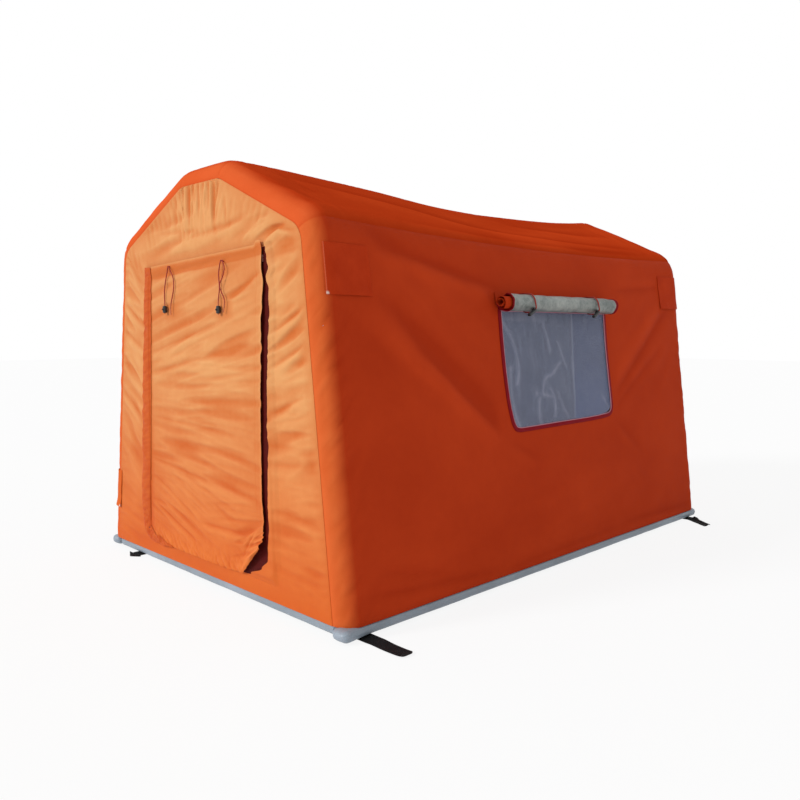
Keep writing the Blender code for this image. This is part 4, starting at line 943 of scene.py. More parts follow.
def ruffled(height, seed):
    """The gathers beside the seam: short folds that leave it and die out."""
    depth = unit(seam_gap / 0.006) * np.exp(-(seam_gap / 0.13) ** 1.5)
    sway = 2.6 * lattice(near_run / 0.085, seam_gap / 0.20, seed)
    sway = sway + 1.2 * lattice(near_run / 0.034, seam_gap / 0.3, seed + 1)
    strength = 0.75 + 0.9 * lattice(near_run / 0.05, seam_gap / 0.12, seed + 2)
    pleat = np.cos(2 * math.pi * near_run / 0.044 + sway) * strength
    top = unit((end_z - 1.45) / 0.15)
    uneven = unit(0.5 + 1.6 * lattice(near_run / 0.11, seam_gap / 0.09, seed + 3))
    gathered = uneven * (0.0012 + top * (0.0012 + 0.0022 * (end_x < 0)))
    gathered = gathered + top * 0.0058 * np.exp(-(end_x / 0.18) ** 4)
    dip = 0.0010 * hill(seam_gap, 0, SEAM_WIDTH)
    return height * unit(seam_gap / 0.05) + depth * pleat * gathered - dip


def doorway_gap(x, z):
    """How far a place on the front panel is from the doorway."""
    gap = np.maximum(np.abs(x) - door_half(z), z - DOOR_TOP)
    return np.where(z < DOOR_FOOT, np.maximum(gap, DOOR_FOOT - z), gap)


def front_folds(x, z):
    """The slack of the front panel, as it would lie without the doorway in it."""
    height = 0.0030 * lattice(x / 0.30, z / 0.35, 101)
    height = worn(height, x, z, (
        ((0.02, 1.74), (0.26, 0.13), 88, 0.042, 0.22, 0.0125, 103),
        ((-0.10, 1.63), (0.50, 0.10), 12, 0.070, 0.45, 0.0085, 105),
        ((0.52, 1.55), (0.26, 0.13), 20, 0.050, 0.25, 0.0090, 107),
        ((-0.66, 1.22), (0.20, 0.36), -38, 0.060, 0.30, 0.0100, 109),
        ((-0.70, 0.70), (0.24, 0.34), -36, 0.070, 0.30, 0.0075, 111),
        ((0.66, 1.20), (0.22, 0.36), 25, 0.060, 0.30, 0.0105, 113),
        ((0.70, 0.75), (0.24, 0.30), 8, 0.060, 0.30, 0.0085, 115),
        ((0.72, 0.35), (0.24, 0.24), -3, 0.060, 0.32, 0.0060, 117),
        ((-0.70, 0.25), (0.24, 0.20), -12, 0.060, 0.32, 0.0045, 119)), (
        ((-0.262, 1.611), (0.376, 1.665), 0.016, 0.0065), ((-0.367, 1.672), (0.005, 1.649), 0.014, 0.0050),
        ((-0.753, 1.332), (-0.548, 1.211), 0.013, 0.0070), ((-0.773, 1.201), (-0.556, 1.089), 0.013, 0.0065),
        ((-0.84, 0.905), (-0.598, 0.736), 0.014, 0.0065), ((0.537, 1.18), (0.79, 1.305), 0.013, 0.0080),
        ((0.541, 1.045), (0.807, 1.162), 0.014, 0.0075), ((0.529, 0.849), (0.76, 0.938), 0.014, 0.0070),
        ((0.553, 1.58), (0.745, 1.602), 0.011, 0.0060), ((0.489, 1.541), (0.648, 1.627), 0.012, 0.0065),
        ((0.53, 0.64), (0.86, 0.665), 0.018, 0.0050), ((0.55, 0.45), (0.88, 0.43), 0.018, 0.0045)))
    return height * unit((z - HEM) / 0.05)


def front_height(x, z):
    """The front panel's folds, flattened along the doorway, where the zips and plackets lie on it."""
    beside = unit((doorway_gap(x, z) - 0.012) / 0.055)
    return front_folds(x, z) * beside * beside * (3 - 2 * beside)


def head_skew(x, z):
    """The doorway's head hangs lower on the left."""
    to_slope = EAVE_HEIGHT - 0.012 + ROOF_PITCH * (EAVE_HALF - np.abs(x)) - z
    room = unit((0.70 - np.abs(x)) / 0.1) * unit(to_slope / 0.07)
    return z + HEAD_SLANT * x * hill(z, 1.53, 0.13) * room


away_from_door = unit((doorway_gap(end_x, end_z) - 0.06) / 0.05)
height = front_height(end_x, end_z)
height = height + (ruffled(height, 121) - height) * away_from_door
hole = np.ones((end_x.shape[0] - 1, end_x.shape[1] - 1), bool)
hole[DOOR_ROW:DOOR_TOP_ROW, SIDE_COLUMNS:SIDE_COLUMNS + DOOR_COLUMNS] = False
end_panel("front_wall_cloth", -1, height, "front_wall", hole)

height = 0.0040 * lattice(end_x / 0.30, end_z / 0.35, 131)
height = worn(height, end_x, end_z, (((0.0, 1.72), (0.45, 0.16), 88, 0.045, 0.22, 0.0095, 133),
                                     ((-0.35, 0.95), (0.45, 0.50), 24, 0.080, 0.45, 0.0075, 135),
                                     ((0.35, 0.95), (0.45, 0.50), -24, 0.080, 0.45, 0.0075, 137),
                                     ((0.0, 0.30), (0.80, 0.20), 2, 0.080, 0.60, 0.0050, 139)))
height = ruffled(height, 141) * unit((end_z - HEM) / 0.05)
end_panel("rear_wall_cloth", 1, height, "rear_wall")

# Door: one sheet of the cover's cloth hung from the doorway's head. It is zipped down both sides, so its
# slack lies in long slanting folds; its hem is crumpled and its lower right corner is turned out.
DOOR_BACK = 1.5023
DOOR_HIGH = 1.531
DOOR_LOW = 0.126
CORNER_ROUND = 0.085
LEFT_REACH = 0.010
HEM_CRUMPLE = 0.0062
HEAD_TUCK = 0.006
STRIP_WIDTH = 0.047
TURNED_TOP, LIFTED_TOP = 0.32, 0.42
HEAD_SHADE_LOW, HEAD_SHADE_TOP = 1.462, 1.530
SLIT_LEFT = ((0.10, 0.492), (0.31, 0.486), (0.398, 0.490), (0.504, 0.478), (0.696, 0.475), (0.908, 0.479),
             (1.076, 0.485), (1.201, 0.491), (1.324, 0.500), (1.393, 0.509), (1.447, 0.498), (1.50, 0.500),
             (1.54, 0.490))
low_rows = np.linspace(DOOR_LOW, 0.30, 44)
door_z = np.concatenate([low_rows, np.linspace(0.30, DOOR_HIGH, 190)[1:]])
door_s = np.linspace(0, 1, 150)
corner = np.clip(CORNER_ROUND - (door_z - DOOR_LOW), 0, CORNER_ROUND)
left_edge = -(door_half(door_z) + LEFT_REACH) + CORNER_ROUND - np.sqrt(CORNER_ROUND ** 2 - corner ** 2)
right_edge = eased(door_z, SLIT_LEFT)
door_x = left_edge[:, None] + (right_edge - left_edge)[:, None] * door_s[None]
door_z = np.broadcast_to(door_z[:, None], door_x.shape)
stand = 0.0050 + 0.0040 * lattice(door_x / 0.33, door_z / 0.30, 151)
stand = worn(stand, door_x, door_z, (
    ((-0.10, 1.36), (0.55, 0.15), 12, 0.050, 0.42, 0.0060, 153),
    ((0.05, 1.15), (0.60, 0.22), 14, 0.052, 0.45, 0.0080, 155),
    ((0.00, 0.90), (0.60, 0.20), 3, 0.050, 0.45, 0.0075, 157),
    ((0.00, 0.62), (0.60, 0.20), -4, 0.046, 0.42, 0.0072, 159),
    ((-0.15, 0.36), (0.40, 0.15), -17, 0.042, 0.36, 0.0080, 161),
    ((0.30, 0.33), (0.24, 0.14), 8, 0.036, 0.25, 0.0060, 163)), (
    ((-0.481, 1.085), (0.224, 1.245), 0.014, 0.0070), ((-0.508, 0.983), (0.479, 1.151), 0.015, 0.0060),
    ((-0.511, 0.348), (-0.072, 0.197), 0.010, 0.0070), ((-0.49, 0.346), (-0.335, 0.330), 0.009, 0.0040),
    ((-0.053, 0.298), (0.436, 0.306), 0.012, 0.0055), ((0.334, 0.214), (0.428, 0.295), 0.009, 0.0050),
    ((0.289, 0.273), (0.459, 0.314), 0.009, 0.0045), ((0.245, 1.335), (0.485, 1.430), 0.012, 0.0070),
    ((-0.47, 1.468), (0.20, 1.510), 0.016, 0.0050), ((-0.50, 0.77), (0.30, 0.735), 0.013, 0.0050),
    ((-0.10, 0.52), (0.47, 0.47), 0.013, 0.0045), ((-0.53, 0.56), (0.05, 0.50), 0.012, 0.0050)))
hem = hill(door_z, DOOR_LOW, 0.060)
crumple = lattice(door_x / 0.026 + door_z / 0.034, door_z / 0.045, 171)
crumple = crumple + 0.6 * lattice(door_x / 0.013, door_z / 0.022, 173)
corner_left = hill(door_x, -0.47, 0.10)
stand = stand + hem * (crumple * (HEM_CRUMPLE + 0.0050 * corner_left) + 0.003)
left_room = unit((door_x - left_edge[:, None]) / 0.055)
right_room = unit((right_edge[:, None] - door_x) / 0.020)
edge_wave = 0.004 + 0.0035 * lattice(door_z / 0.10, door_x * 0, 175)
stand = np.clip(stand, 0.0, None) * left_room + (1 - right_room) * edge_wave
head_run = unit(0.5 + door_x / 0.94)
band = 0.058 - 0.030 * head_run
head = unit((door_z - (DOOR_HIGH - HEAD_TUCK - band)) / band)
stand = stand * (1 - head) + (0.0095 * head * head * (3 - 2 * head) + 0.0006)
past_zip = unit((door_x - door_half(door_z) - 0.010) / 0.008) * (door_z > 0.40)
stand = np.maximum(stand, 0.0080 * past_zip)
strip = np.abs(right_edge[:, None] - door_x - STRIP_WIDTH)
stand = stand - 0.0012 * hill(strip, 0, 0.0030) * unit((door_z - 0.35) / 0.1)
for tie_x, tie_low in ((LEFT_TIE_X, 1.240), (RIGHT_TIE_X, 1.230)):
    under = unit(1.6 - np.abs(door_x - tie_x) / 0.055) * unit((door_z - tie_low) / 0.03)
    room = np.where(door_z < 1.325, 0.0060, 0.0125) - 0.0022
    room = np.where(door_z > 1.470, 0.0095, room)
    stand = stand + (np.minimum(stand, room) - stand) * under
edge_lift = 0.009 * unit((door_x - 0.20) / 0.13) + 0.143 * unit((door_x - 0.33) / 0.16)
lift = edge_lift * unit((LIFTED_TOP - door_z) / (LIFTED_TOP - DOOR_LOW))
toward = unit((door_x - 0.27) / 0.16)
turned = toward * toward * unit((TURNED_TOP - door_z) / 0.17)
above = door_z - DOOR_LOW
rolled = hill(above, 0.020, 0.030)
fan = np.cos((door_x - 0.50) * 62 + above * 150 + 1.2) * hill(above, 0.07, 0.06)
stand = stand + toward * (0.021 * rolled + 0.0045 * fan) + 0.006 * turned
tab = 0.016 * unit((door_x - 0.452) / 0.006) * unit((door_z - 1.50) / 0.02)
tall = head_skew(door_x, door_z) + lift + tab
outer = np.dstack([door_x - 0.006 * turned, -(DOOR_BACK + CLOTH + stand), tall])
inner = np.dstack([door_x - 0.006 * turned, -(DOOR_BACK + stand), tall])
# Painted shade: a darker band under the door's head, and darker cloth in the roll of the turned-out corner.
head_shade_foot = HEAD_SHADE_LOW + 0.022 * head_run
head_shade_mark = unit((door_z - head_shade_foot) / 0.010) * unit((HEAD_SHADE_TOP - door_z) / 0.010)
fold_mark = fold_level(stand - 0.0065 - 0.010 * toward * rolled, 0.011) - 0.75 * head_shade_mark
uv = np.dstack([door_x, door_z])
door_sheet = cloth_piece("door_cloth", outer, inner, uv, LIT_END_ORANGE, fold=fold_mark)
dress(door_sheet, "door", "orange_oxford", "door_panel")

# Door zips: a dark tape with a coil chain down each side of the doorway, and a soft placket of the cover's
# cloth that folds over it. The right placket is pulled back, so that the tape shows as a dark wavy slit; the
# tape's dark colour is partly painted shade for that slit.
SLIT_RIGHT = ((0.10, 0.520), (0.295, 0.517), (0.362, 0.525), (0.489, 0.521), (0.702, 0.526), (0.911, 0.521),
              (1.078, 0.532), (1.242, 0.545), (1.364, 0.545), (1.405, 0.527), (1.436, 0.545), (1.478, 0.531),
              (1.54, 0.522))
SILL_EDGE = ((0.12, 0.335), (0.143, 0.378), (0.185, 0.470), (0.23, 0.514), (0.28, 0.520))
ZIP_GAP = 0.027
ZIP_CHAIN = 0.0028
TAPE_THICK, TAPE_STAND = 0.0010, 0.0014


def tape_finish():
    """Dark red coated tape, darkened as painted shade in the slit; the coil of its chain is a row of fine
    ridges.
    """
    made = Finish("zip_tape", (0.085, 0.004, 0.003), 0.8, Specular_IOR_Level=0.1)
    u, v, _ = made.split(made.uv())
    coil = made.waves(v, 0.0028) * (1.0 - ((u - ZIP_GAP).math("ABSOLUTE") * 380.0).clamp())
    rib = made.waves(v, 0.0009)
    dust = made.noise(35.0, 5.0, 0.65)
    made.colour(made.mix((dust * 0.8).clamp(), (0.055, 0.002, 0.002), (0.13, 0.007, 0.004)))
    made.rough((dust * 0.3 + 0.5).clamp())
    made.bump(coil * 3.0 + rib * 0.4, 0.0005, 0.8)
    return made.made


SHADED_TAPE_RED = tape_finish()


def front_strip(name, node, gaps, z, lift, thick, material, side, slot, share=None):
    """A strip on the front panel: gaps run out from the doorway's edge, lift is its height over the panel.

    Share tells how much of the panel's slack goes on into the strip.
    """
    x = side * (door_half(z) + gaps)
    base = front_height(x, z)
    top = base + lift
    if share is not None:
        least = base + 0.0046 * share - 0.0008 * (1 - share)
        base = front_folds(x, z) * share + base * (1 - share)
        top = np.maximum(base + lift, least)
    tall = head_skew(x, z)
    outer = np.dstack([x, -(FRONT_Y + top), tall])
    inner = np.dstack([x, -(FRONT_Y + top - thick), tall])
    piece = cloth_piece(name, outer, inner, np.dstack([gaps, z]), material, fold=fold_level(base, 0.011))
    dress(piece, "tent", slot, node)


TAPE_FOOT, TAPE_TOP = 0.132, 1.519
TAPE_NEAR, TAPE_FAR = 0.004, 0.040
rows = np.linspace(TAPE_FOOT, TAPE_TOP, 230)
across = np.linspace(0, 1, 34)
for label, side in (("left", -1), ("right", 1)):
    near, far = np.full(len(rows), TAPE_NEAR), np.full(len(rows), TAPE_FAR)
    if side > 0:
        # Near its foot the right tape widens under the door's turned corner: a dark sheet put there as
        # painted shade.
        near = np.interp(rows, (0.13, 0.20, 0.27, 0.36), (-0.215, -0.155, -0.090, -0.045))
        far = np.maximum(eased(rows, SLIT_RIGHT) - door_half(rows) + 0.008, 0.036)
    gaps = near[:, None] + (far - near)[:, None] * across
    foot = 0.133 + 0.015 * unit((0.19 + gaps) / 0.19) if side > 0 else TAPE_FOOT
    z = foot + (rows[:, None] - TAPE_FOOT) * (TAPE_TOP - foot) / (TAPE_TOP - TAPE_FOOT) + 0 * gaps
    chain = unit(1.4 - np.abs(gaps - ZIP_GAP) / ZIP_CHAIN)
    lift = TAPE_STAND + 0.0020 * chain
    front_strip(f"{label}_zip_tape", f"{label}_zip", gaps, z, lift, TAPE_THICK, SHADED_TAPE_RED, side,
                "zip_tape")

# The right placket is pinned along its outer edge, and its free edge swells over the zip.
PLACKET_FOOT, PLACKET_TOP = 0.124, 1.532
rows = np.linspace(PLACKET_FOOT, PLACKET_TOP, 266)
free = eased(rows, SLIT_RIGHT) - door_half(rows)
far = np.maximum(free + 0.045, 0.088)
free = np.where(rows < 0.275, np.minimum(free, eased(rows, SILL_EDGE) - door_half(rows)), free)
across = np.linspace(0, 1, 30)
gaps = free[:, None] + (far - free)[:, None] * across
z = np.broadcast_to(rows[:, None], gaps.shape)
swell = 0.0100 + 0.0030 * lattice(z / 0.07, gaps * 0, 201)
roll = unit(across * 7) ** 0.5
lift = 0.0032 + swell * (1 - across) ** 1.6 * roll[None] + 0.0045 * (1 - roll)[None]
lift = lift + 0.0012 * lattice(z / 0.05, gaps / 0.02, 203) * (1 - across)
thick = 0.0005 + 0.0019 * (1 - across) + 0 * gaps
lift = np.maximum(lift, 0.0122 * unit((0.062 - gaps) / 0.030) * unit((0.95 - z) / 0.1))
sewn = np.maximum(unit((across[None] - 0.55) / 0.45), unit((0.158 - z) / 0.030))
sewn = sewn * sewn * (3 - 2 * sewn)
lift = lift * (1 - sewn) - 0.0012 * sewn
lift = np.maximum(lift, 0.0040 * unit((0.046 - gaps) / 0.010) * unit((z - 0.126) / 0.007))
front_strip("right_door_placket", "right_placket", gaps, z, lift, thick, LIT_END_ORANGE, 1, "orange_oxford",
            1 - sewn)

# The left placket is a flattened tube over the closed zip, puckered by its stitches. It turns the corner.
PLACKET_ROUTE = ((-0.482, 1.532), (-0.496, 1.380), (-0.508, 1.201), (-0.522, 1.020), (-0.535, 0.843),
                 (-0.550, 0.640), (-0.564, 0.450), (-0.574, 0.300), (-0.575, 0.240), (-0.568, 0.195),
                 (-0.549, 0.164), (-0.518, 0.147), (-0.480, 0.138), (-0.430, 0.133), (-0.360, 0.130),
                 (-0.290, 0.128))
PLACKET_HALF = ((0.0, 0.036), (0.33, 0.038), (0.69, 0.043), (1.24, 0.046), (1.33, 0.041), (1.40, 0.034),
                (1.50, 0.024), (1.62, 0.005))
CORNER_RUN = 1.22
line = plane_line(PLACKET_ROUTE, 20)
run = run_along(line)
steps = np.linspace(0, run[-1], 300)
line = np.stack([np.interp(steps, run, line[:, k]) for k in (0, 1)], axis=1)
way = np.gradient(line, axis=0)
way = way / np.linalg.norm(way, axis=1, keepdims=True)
half = eased(steps, PLACKET_HALF)
part = np.linspace(-1, 1, 27)
x = line[:, :1] - way[:, 1:] * half[:, None] * part
z = line[:, 1:] + way[:, :1] * half[:, None] * part
along = np.broadcast_to(steps[:, None], x.shape)
stitches = lattice(along / 0.024 + part * 0.9, part[None] * 0.7 + 0 * x, 211)
bulge = np.sqrt(unit(1 - part ** 2))[None]
fade = unit((steps[-1] - steps) / 0.12)[:, None]
pucker = np.sin(2 * math.pi * (along / 0.023 + 0.55 * part[None]) + 3 * stitches)
bunched = unit((steps - CORNER_RUN) / 0.06)[:, None] * (1 - 0.45 * unit((steps - 1.40) / 0.15))[:, None]
knot = lattice(x / 0.016, z / 0.013, 213) + 0.6 * lattice(x / 0.008, z / 0.008, 215)
lift = 0.0050 + (0.0085 * fade + 0.001) * bulge ** 0.7 + (0.0018 * stitches + 0.0006 * pucker) * bulge
lift = lift * (1 - 0.35 * bunched) + 0.0062 * bunched * (knot + 0.30) * bulge
lift = lift * unit(0.15 + (steps[-1] - steps) / 0.05)[:, None]
row_of = np.abs(door_z[:, :1] - z.ravel()[None]).argmin(axis=0)
on_door = [np.interp(place, door_x[row], stand[row], left=-1, right=-1)
           for row, place in zip(row_of, x.ravel())]
on_door = np.array(on_door).reshape(x.shape)
base = front_height(x, z)
over_door = np.where(on_door >= 0, DOOR_BACK + CLOTH - FRONT_Y + on_door + 0.0030 - base, 0)
inside = unit(part * 2.2 - 0.6)[None] * fade
lift = np.where(on_door >= 0, np.maximum(lift * (1 - inside) + over_door * inside, over_door), lift)
lift[:, 0] = np.minimum(lift[:, 0], 0.0030)
thick = 0.0022 * (1 - 0.6 * inside)
tall = head_skew(x, z)
outer = np.dstack([x, -(FRONT_Y + base + lift), tall])
inner = np.dstack([x, -(FRONT_Y + base + lift - thick), tall])
# Painted shade and light on the placket's stitches, puckers and bunched corner, over its painted-shade
# cloth.
placket = cloth_piece("left_door_placket", outer, inner, np.dstack([x, z]), SHADED_PLACKET_ORANGE,
                      fold=unit(0.40 + stitches * 0.5 + 0.08 * pucker + 0.5 * bunched * knot))
dress(placket, "tent", "orange_oxford", "left_placket")

# Window: a hole in the right wall with a fly net outside and a creased clear film inside. A dark red bound
# edge with a pale piping along its inner side holds them both.
NET_PITCH = 0.0024
JOIN_Y, JOIN_LEAN = 0.206, 0.068
HEAD_STRIP_FOOT = 1.248
BINDING_HALF = 0.0115


def net_finish():
    """Fly net: pale threads with open holes between them."""
    made = Finish("fly_net", (0.36, 0.40, 0.56), 0.6, Specular_IOR_Level=0.1)
    u, v, _ = made.split(made.uv())
    threads = made.waves(u, NET_PITCH, 9.0).math("MAXIMUM", made.waves(v, NET_PITCH, 9.0))
    dust = made.noise(14.0, 4.0, 0.6)
    made.colour(made.mix((dust * 0.8).clamp(), (0.26, 0.29, 0.42), (0.42, 0.46, 0.62)))
    made.alpha((threads * 0.9).clamp())
    made.bump(threads, 0.0006, 0.6)
    return made.made


def film_finish():
    """Clear film: tint and crease highlights painted as reflection, and doubled in front of its welded join.
    """
    made = Finish("clear_film", (0.16, 0.19, 0.30), 0.2, Coat_Weight=0.35, Coat_Roughness=0.15, IOR=1.5)
    film_highlight = made.attribute("crease")
    doubled = made.attribute("doubled")
    haze = made.noise(6.0, 4.0, 0.55)
    _, height, _ = made.split(made.uv())
    # Painted reflection: the blue-grey tint, bluer lower down, stands in for the sky reflected in the film.
    single = made.mix(((1.05 - height) * 2.6).clamp(), (0.085, 0.120, 0.250), (0.110, 0.190, 0.460))
    tint = made.mix(doubled, single, (0.120, 0.142, 0.210))
    tint = made.mix(((haze - 0.45) * 1.2).clamp(), tint, (0.16, 0.19, 0.30))
    # Painted highlights: pale along the creases, the join and the streaks.
    made.colour(made.mix((film_highlight * 1.1).clamp(), tint, (0.55, 0.57, 0.70)))
    made.rough((haze * 0.25 + 0.12).clamp())
    made.alpha((film_highlight * 0.4 + 0.80).clamp())
    made.bump(haze, 0.002, 0.4)
    return made.made


def binding_finish():
    """Woven edge binding: dark red with a pale piping on its inner edge and a line of stitches."""
    made = Finish("red_binding", (0.26, 0.004, 0.012), 0.65, Specular_IOR_Level=0.1)
    across, along, _ = made.split(made.uv())
    weave = made.waves(along, 0.0016) * 0.5 + made.waves(across + along, 0.0016) * 0.5
    piping = ((across - 0.0078) * 1500.0).clamp()
    stitch = made.waves(along, 0.0045, 2.0) * (1.0 - ((across + 0.006).math("ABSOLUTE") * 900.0).clamp())
    wear = made.noise(30.0, 5.0, 0.6)
    red = made.mix((wear * 0.9).clamp(), (0.17, 0.002, 0.008), (0.36, 0.006, 0.016))
    red = made.mix((stitch * 0.3).clamp(), red, (0.30, 0.05, 0.05))
    made.colour(made.mix(piping, red, (0.66, 0.30, 0.36)))
    made.bump(weave * 0.5 + stitch, 0.0006, 0.7)
    return made.made


NET, CLEAR_FILM, BINDING = net_finish(), film_finish(), binding_finish()


def window_sheet(name, node, height, out, thick, material, slot, **marks):
    """A sheet held in the window's bound edge."""
    outer = wall_skin(pane_y, pane_z, out + height)
    inner = wall_skin(pane_y, pane_z, out + height - thick)
    piece = cloth_piece(name, outer, inner, np.dstack([pane_y, pane_z]), material, **marks)
    dress(piece, "tent", slot, node)


pane_rows = WINDOW_RING_FOOT + (WINDOW_TOP - WINDOW_RING_FOOT) * np.linspace(0, 1, 90) ** 1.25
pane_part = np.linspace(0, 1, 130)
low_side, high_side = window_sides(pane_rows)
pane_y = low_side[:, None] * (1 - pane_part) + high_side[:, None] * pane_part
pane_z = pane_rows[:, None] + 0 * pane_y
pane_z = pane_z + (window_foot(pane_y) - WINDOW_RING_FOOT) * unit(1 - (pane_z - 0.72) / 0.25)
beside = np.minimum(pane_y - low_side[:, None], high_side[:, None] - pane_y)
edge = unit(np.minimum(beside, pane_z - 0.722) / 0.03)
net_height = edge * (0.0016 * lattice(pane_y / 0.20, pane_z / 0.25, 301) - 0.0008)
window_sheet("window_fly_net", "window_net", net_height, 0.0, 0.0009, NET, "grey_net")

# Painted highlights on the film: pale marks along its creases, its join and a strip under its head, and in
# streaks.
film_highlight = np.zeros_like(pane_y)
film_height = 0.0024 * lattice(pane_y / 0.11, pane_z / 0.22, 303)
film_height = film_height + 0.0012 * lattice(pane_y / 0.045, pane_z / 0.12, 305)
for route, depth in ((((-0.37, 1.25), (-0.30, 1.16), (-0.262, 1.04), (-0.266, 0.98), (-0.285, 0.94)), 0.9),
                     (((-0.33, 1.02), (-0.335, 0.90), (-0.318, 0.80), (-0.290, 0.73)), 1.0),
                     (((-0.03, 1.245), (-0.005, 1.18), (0.02, 1.10)), 0.8),
                     (((0.095, 1.14), (0.13, 1.06), (0.16, 1.01)), 0.8),
                     (((0.10, 1.03), (0.03, 0.98), (-0.04, 0.955), (-0.07, 0.90), (-0.065, 0.87)), 0.9),
                     (((-0.13, 0.885), (-0.07, 0.875), (0.0, 0.86)), 0.7),
                     (((0.0, 0.90), (0.03, 0.84), (0.02, 0.76)), 0.8),
                     (((-0.10, 0.86), (-0.12, 0.80), (-0.115, 0.73)), 0.8),
                     (((0.06, 0.88), (0.10, 0.80), (0.14, 0.75)), 0.7),
                     (((0.50, 0.83), (0.53, 0.79), (0.55, 0.76)), 0.7),
                     (((-0.36, 1.262), (-0.2, 1.255), (-0.02, 1.246)), 0.6)):
    gap = np.min([np.hypot(pane_y - y, pane_z - z) for y, z in plane_line(route, 8)], axis=0)
    film_highlight = np.maximum(film_highlight, 0.72 * depth * np.exp(-(gap / 0.010) ** 1.3))
    film_height = film_height + 0.0026 * depth * hill(gap, 0, 0.010)
join = JOIN_Y + JOIN_LEAN * (pane_z - 0.724) + 0.006 * lattice(pane_z / 0.13, pane_y * 0, 307)
film_highlight = np.maximum(film_highlight, 0.55 * hill(pane_y, join, 0.007))
head_strip = unit((pane_z - HEAD_STRIP_FOOT) / 0.004) * unit((0.02 - pane_y) / 0.02)
film_highlight = np.maximum(film_highlight, 0.28 * head_strip)
doubled = unit((join - pane_y) / 0.004)
streaks = lattice(pane_y / 0.035 + pane_z / 0.30, pane_z / 0.20, 313)
streaks = streaks + 0.5 * lattice(pane_y / 0.016, pane_z / 0.12, 315)
film_highlight = unit(film_highlight + 0.40 * unit(streaks) * (0.3 + 0.7 * doubled))
film_height = edge * (film_height - 0.0040)
window_sheet("window_clear_film", "window_film", film_height, -0.0028, 0.0008, CLEAR_FILM, "clear_film",
             crease=film_highlight, doubled=doubled)

ring = WINDOW_RING
ring_run = run_along(ring)
ring_way = np.roll(ring, -1, axis=0) - np.roll(ring, 1, axis=0)
ring_way = ring_way / np.linalg.norm(ring_way, axis=1, keepdims=True)
part = np.linspace(-1, 1, 13)
inward = np.stack([-ring_way[:, 1], ring_way[:, 0]], axis=1)
reach = BINDING_HALF + 0.0012 * lattice(ring_run / 0.09, ring_run * 0, 309)
y = ring[:, :1] + inward[:, :1] * part * reach[:, None]
z = ring[:, 1:] + inward[:, 1:] * part * reach[:, None]
swell = 0.0034 + 0.0016 * np.sqrt(unit(1 - part ** 2)) + 0.0020 * hill(part, 0.84, 0.13)
swell = swell[None] + 0.0007 * lattice(ring_run[:, None] / 0.018, part[None] * 0.8, 311)
outer = wall_skin(y, z, swell)
inner = wall_skin(y, z, 0.0004 + 0 * swell)
uv = np.dstack([np.broadcast_to(part * BINDING_HALF, y.shape), np.broadcast_to(ring_run[:, None], y.shape)])
across_first = [grid.transpose(1, 0, 2) for grid in (outer, inner, uv)]
binding = cloth_piece("window_bound_edge", *across_first, BINDING, wrap=True)
dress(binding, "tent", "red_binding", "window_binding")

# Blind: a cover for the window, silver-coated cloth outside its roll and orange inside, bound in dark red at
# both ends. It hangs from a seam over the window, and is rolled up with its inner turns a little drawn in.
ROLL_FRONT, ROLL_REAR = -0.412, 0.562
ROLL_RADIUS, ROLL_TURNS, ROLL_PITCH = 0.047, 2.9, 0.0115
ROLL_SEAM_HEIGHT, ROLL_DROP = 1.3825, 0.052
SEAM_RISE, ROLL_RISE, ROLL_STANDOFF = 0.00594, 0.01396, 0.06096
INNER_START, INNER_OUT = 5.6, 0.058
SEAM_X, WALL_SINE, WALL_COSINE = 0.8295, 0.1165, 0.9932
BLIND_CLOTH, PIPING = 0.003, 0.0088
TIE_Y = {"front": -0.222, "rear": 0.358}


def by_roll(y, down, out):
    """A place beside the window's seam: down the wall and out from it."""
    x = SEAM_X + WALL_SINE * down + WALL_COSINE * out
    return np.stack([x, y + 0 * down, ROLL_SEAM_HEIGHT - WALL_COSINE * down + WALL_SINE * out], -1)


def silver_finish():
    """Silver-coated cloth: grey metal-like paint, cracked and wrinkled, duller where it has worn."""
    made = Finish("silver_lining", (0.36, 0.40, 0.36), 0.42, Metallic=0.25, Specular_IOR_Level=0.3)
    wear = made.noise(22.0, 6.0, 0.7)
    crack = made.noise(75.0, 5.0, 0.75)
    patch = made.noise(9.0, 3.0, 0.6)
    shade = (((wear - 0.35) * 1.8 + (crack - 0.5) * 1.3) * 0.7 + (patch - 0.42) * 1.4).clamp()
    made.colour(made.mix(shade, (0.15, 0.175, 0.165), (0.48, 0.50, 0.47)))
    made.rough((wear * 0.5 + 0.18).clamp())
    made.bump(crack * 0.6 + wear, 0.0030, 0.8)
    return made.made


def bead_finish():
    """Folded binding tape seen edge on: dark red, a little worn."""
    made = Finish("red_bead", (0.20, 0.004, 0.008), 0.6, Specular_IOR_Level=0.1)
    wear = made.noise(60.0, 5.0, 0.6)
    made.colour(made.mix(wear, (0.13, 0.002, 0.006), (0.32, 0.008, 0.014)))
    made.bump(wear, 0.0006, 0.5)
    return made.made


SILVER, BEAD = silver_finish(), bead_finish()
spiral = np.linspace(0, 2 * math.pi * ROLL_TURNS, 150)
hang = np.linspace(0, 1, 9)[:-1]
along_roll = np.linspace(0, 1, 190)
turn, part = np.meshgrid(np.concatenate([0 * hang, spiral]), along_roll, indexing="ij")
wobble = 0.004 * np.sin(turn * 1.3 + 0.6) * unit(turn / 3)
inner_share = unit((turn - INNER_START) / 4.0)
front_edge = ROLL_FRONT + 0.030 * unit(turn / 1.5) - INNER_OUT * inner_share + wobble
y = front_edge * (1 - part) + (ROLL_REAR - 0.024 * inner_share - wobble) * part
tied = hill(y, TIE_Y["front"], 0.05) + hill(y, TIE_Y["rear"], 0.05)
wrinkle = 0.0042 * lattice(y / 0.10 + turn * 0.25, turn / 0.75, 401)
wrinkle = wrinkle + 0.0020 * lattice(y / 0.035, turn / 0.38, 403)
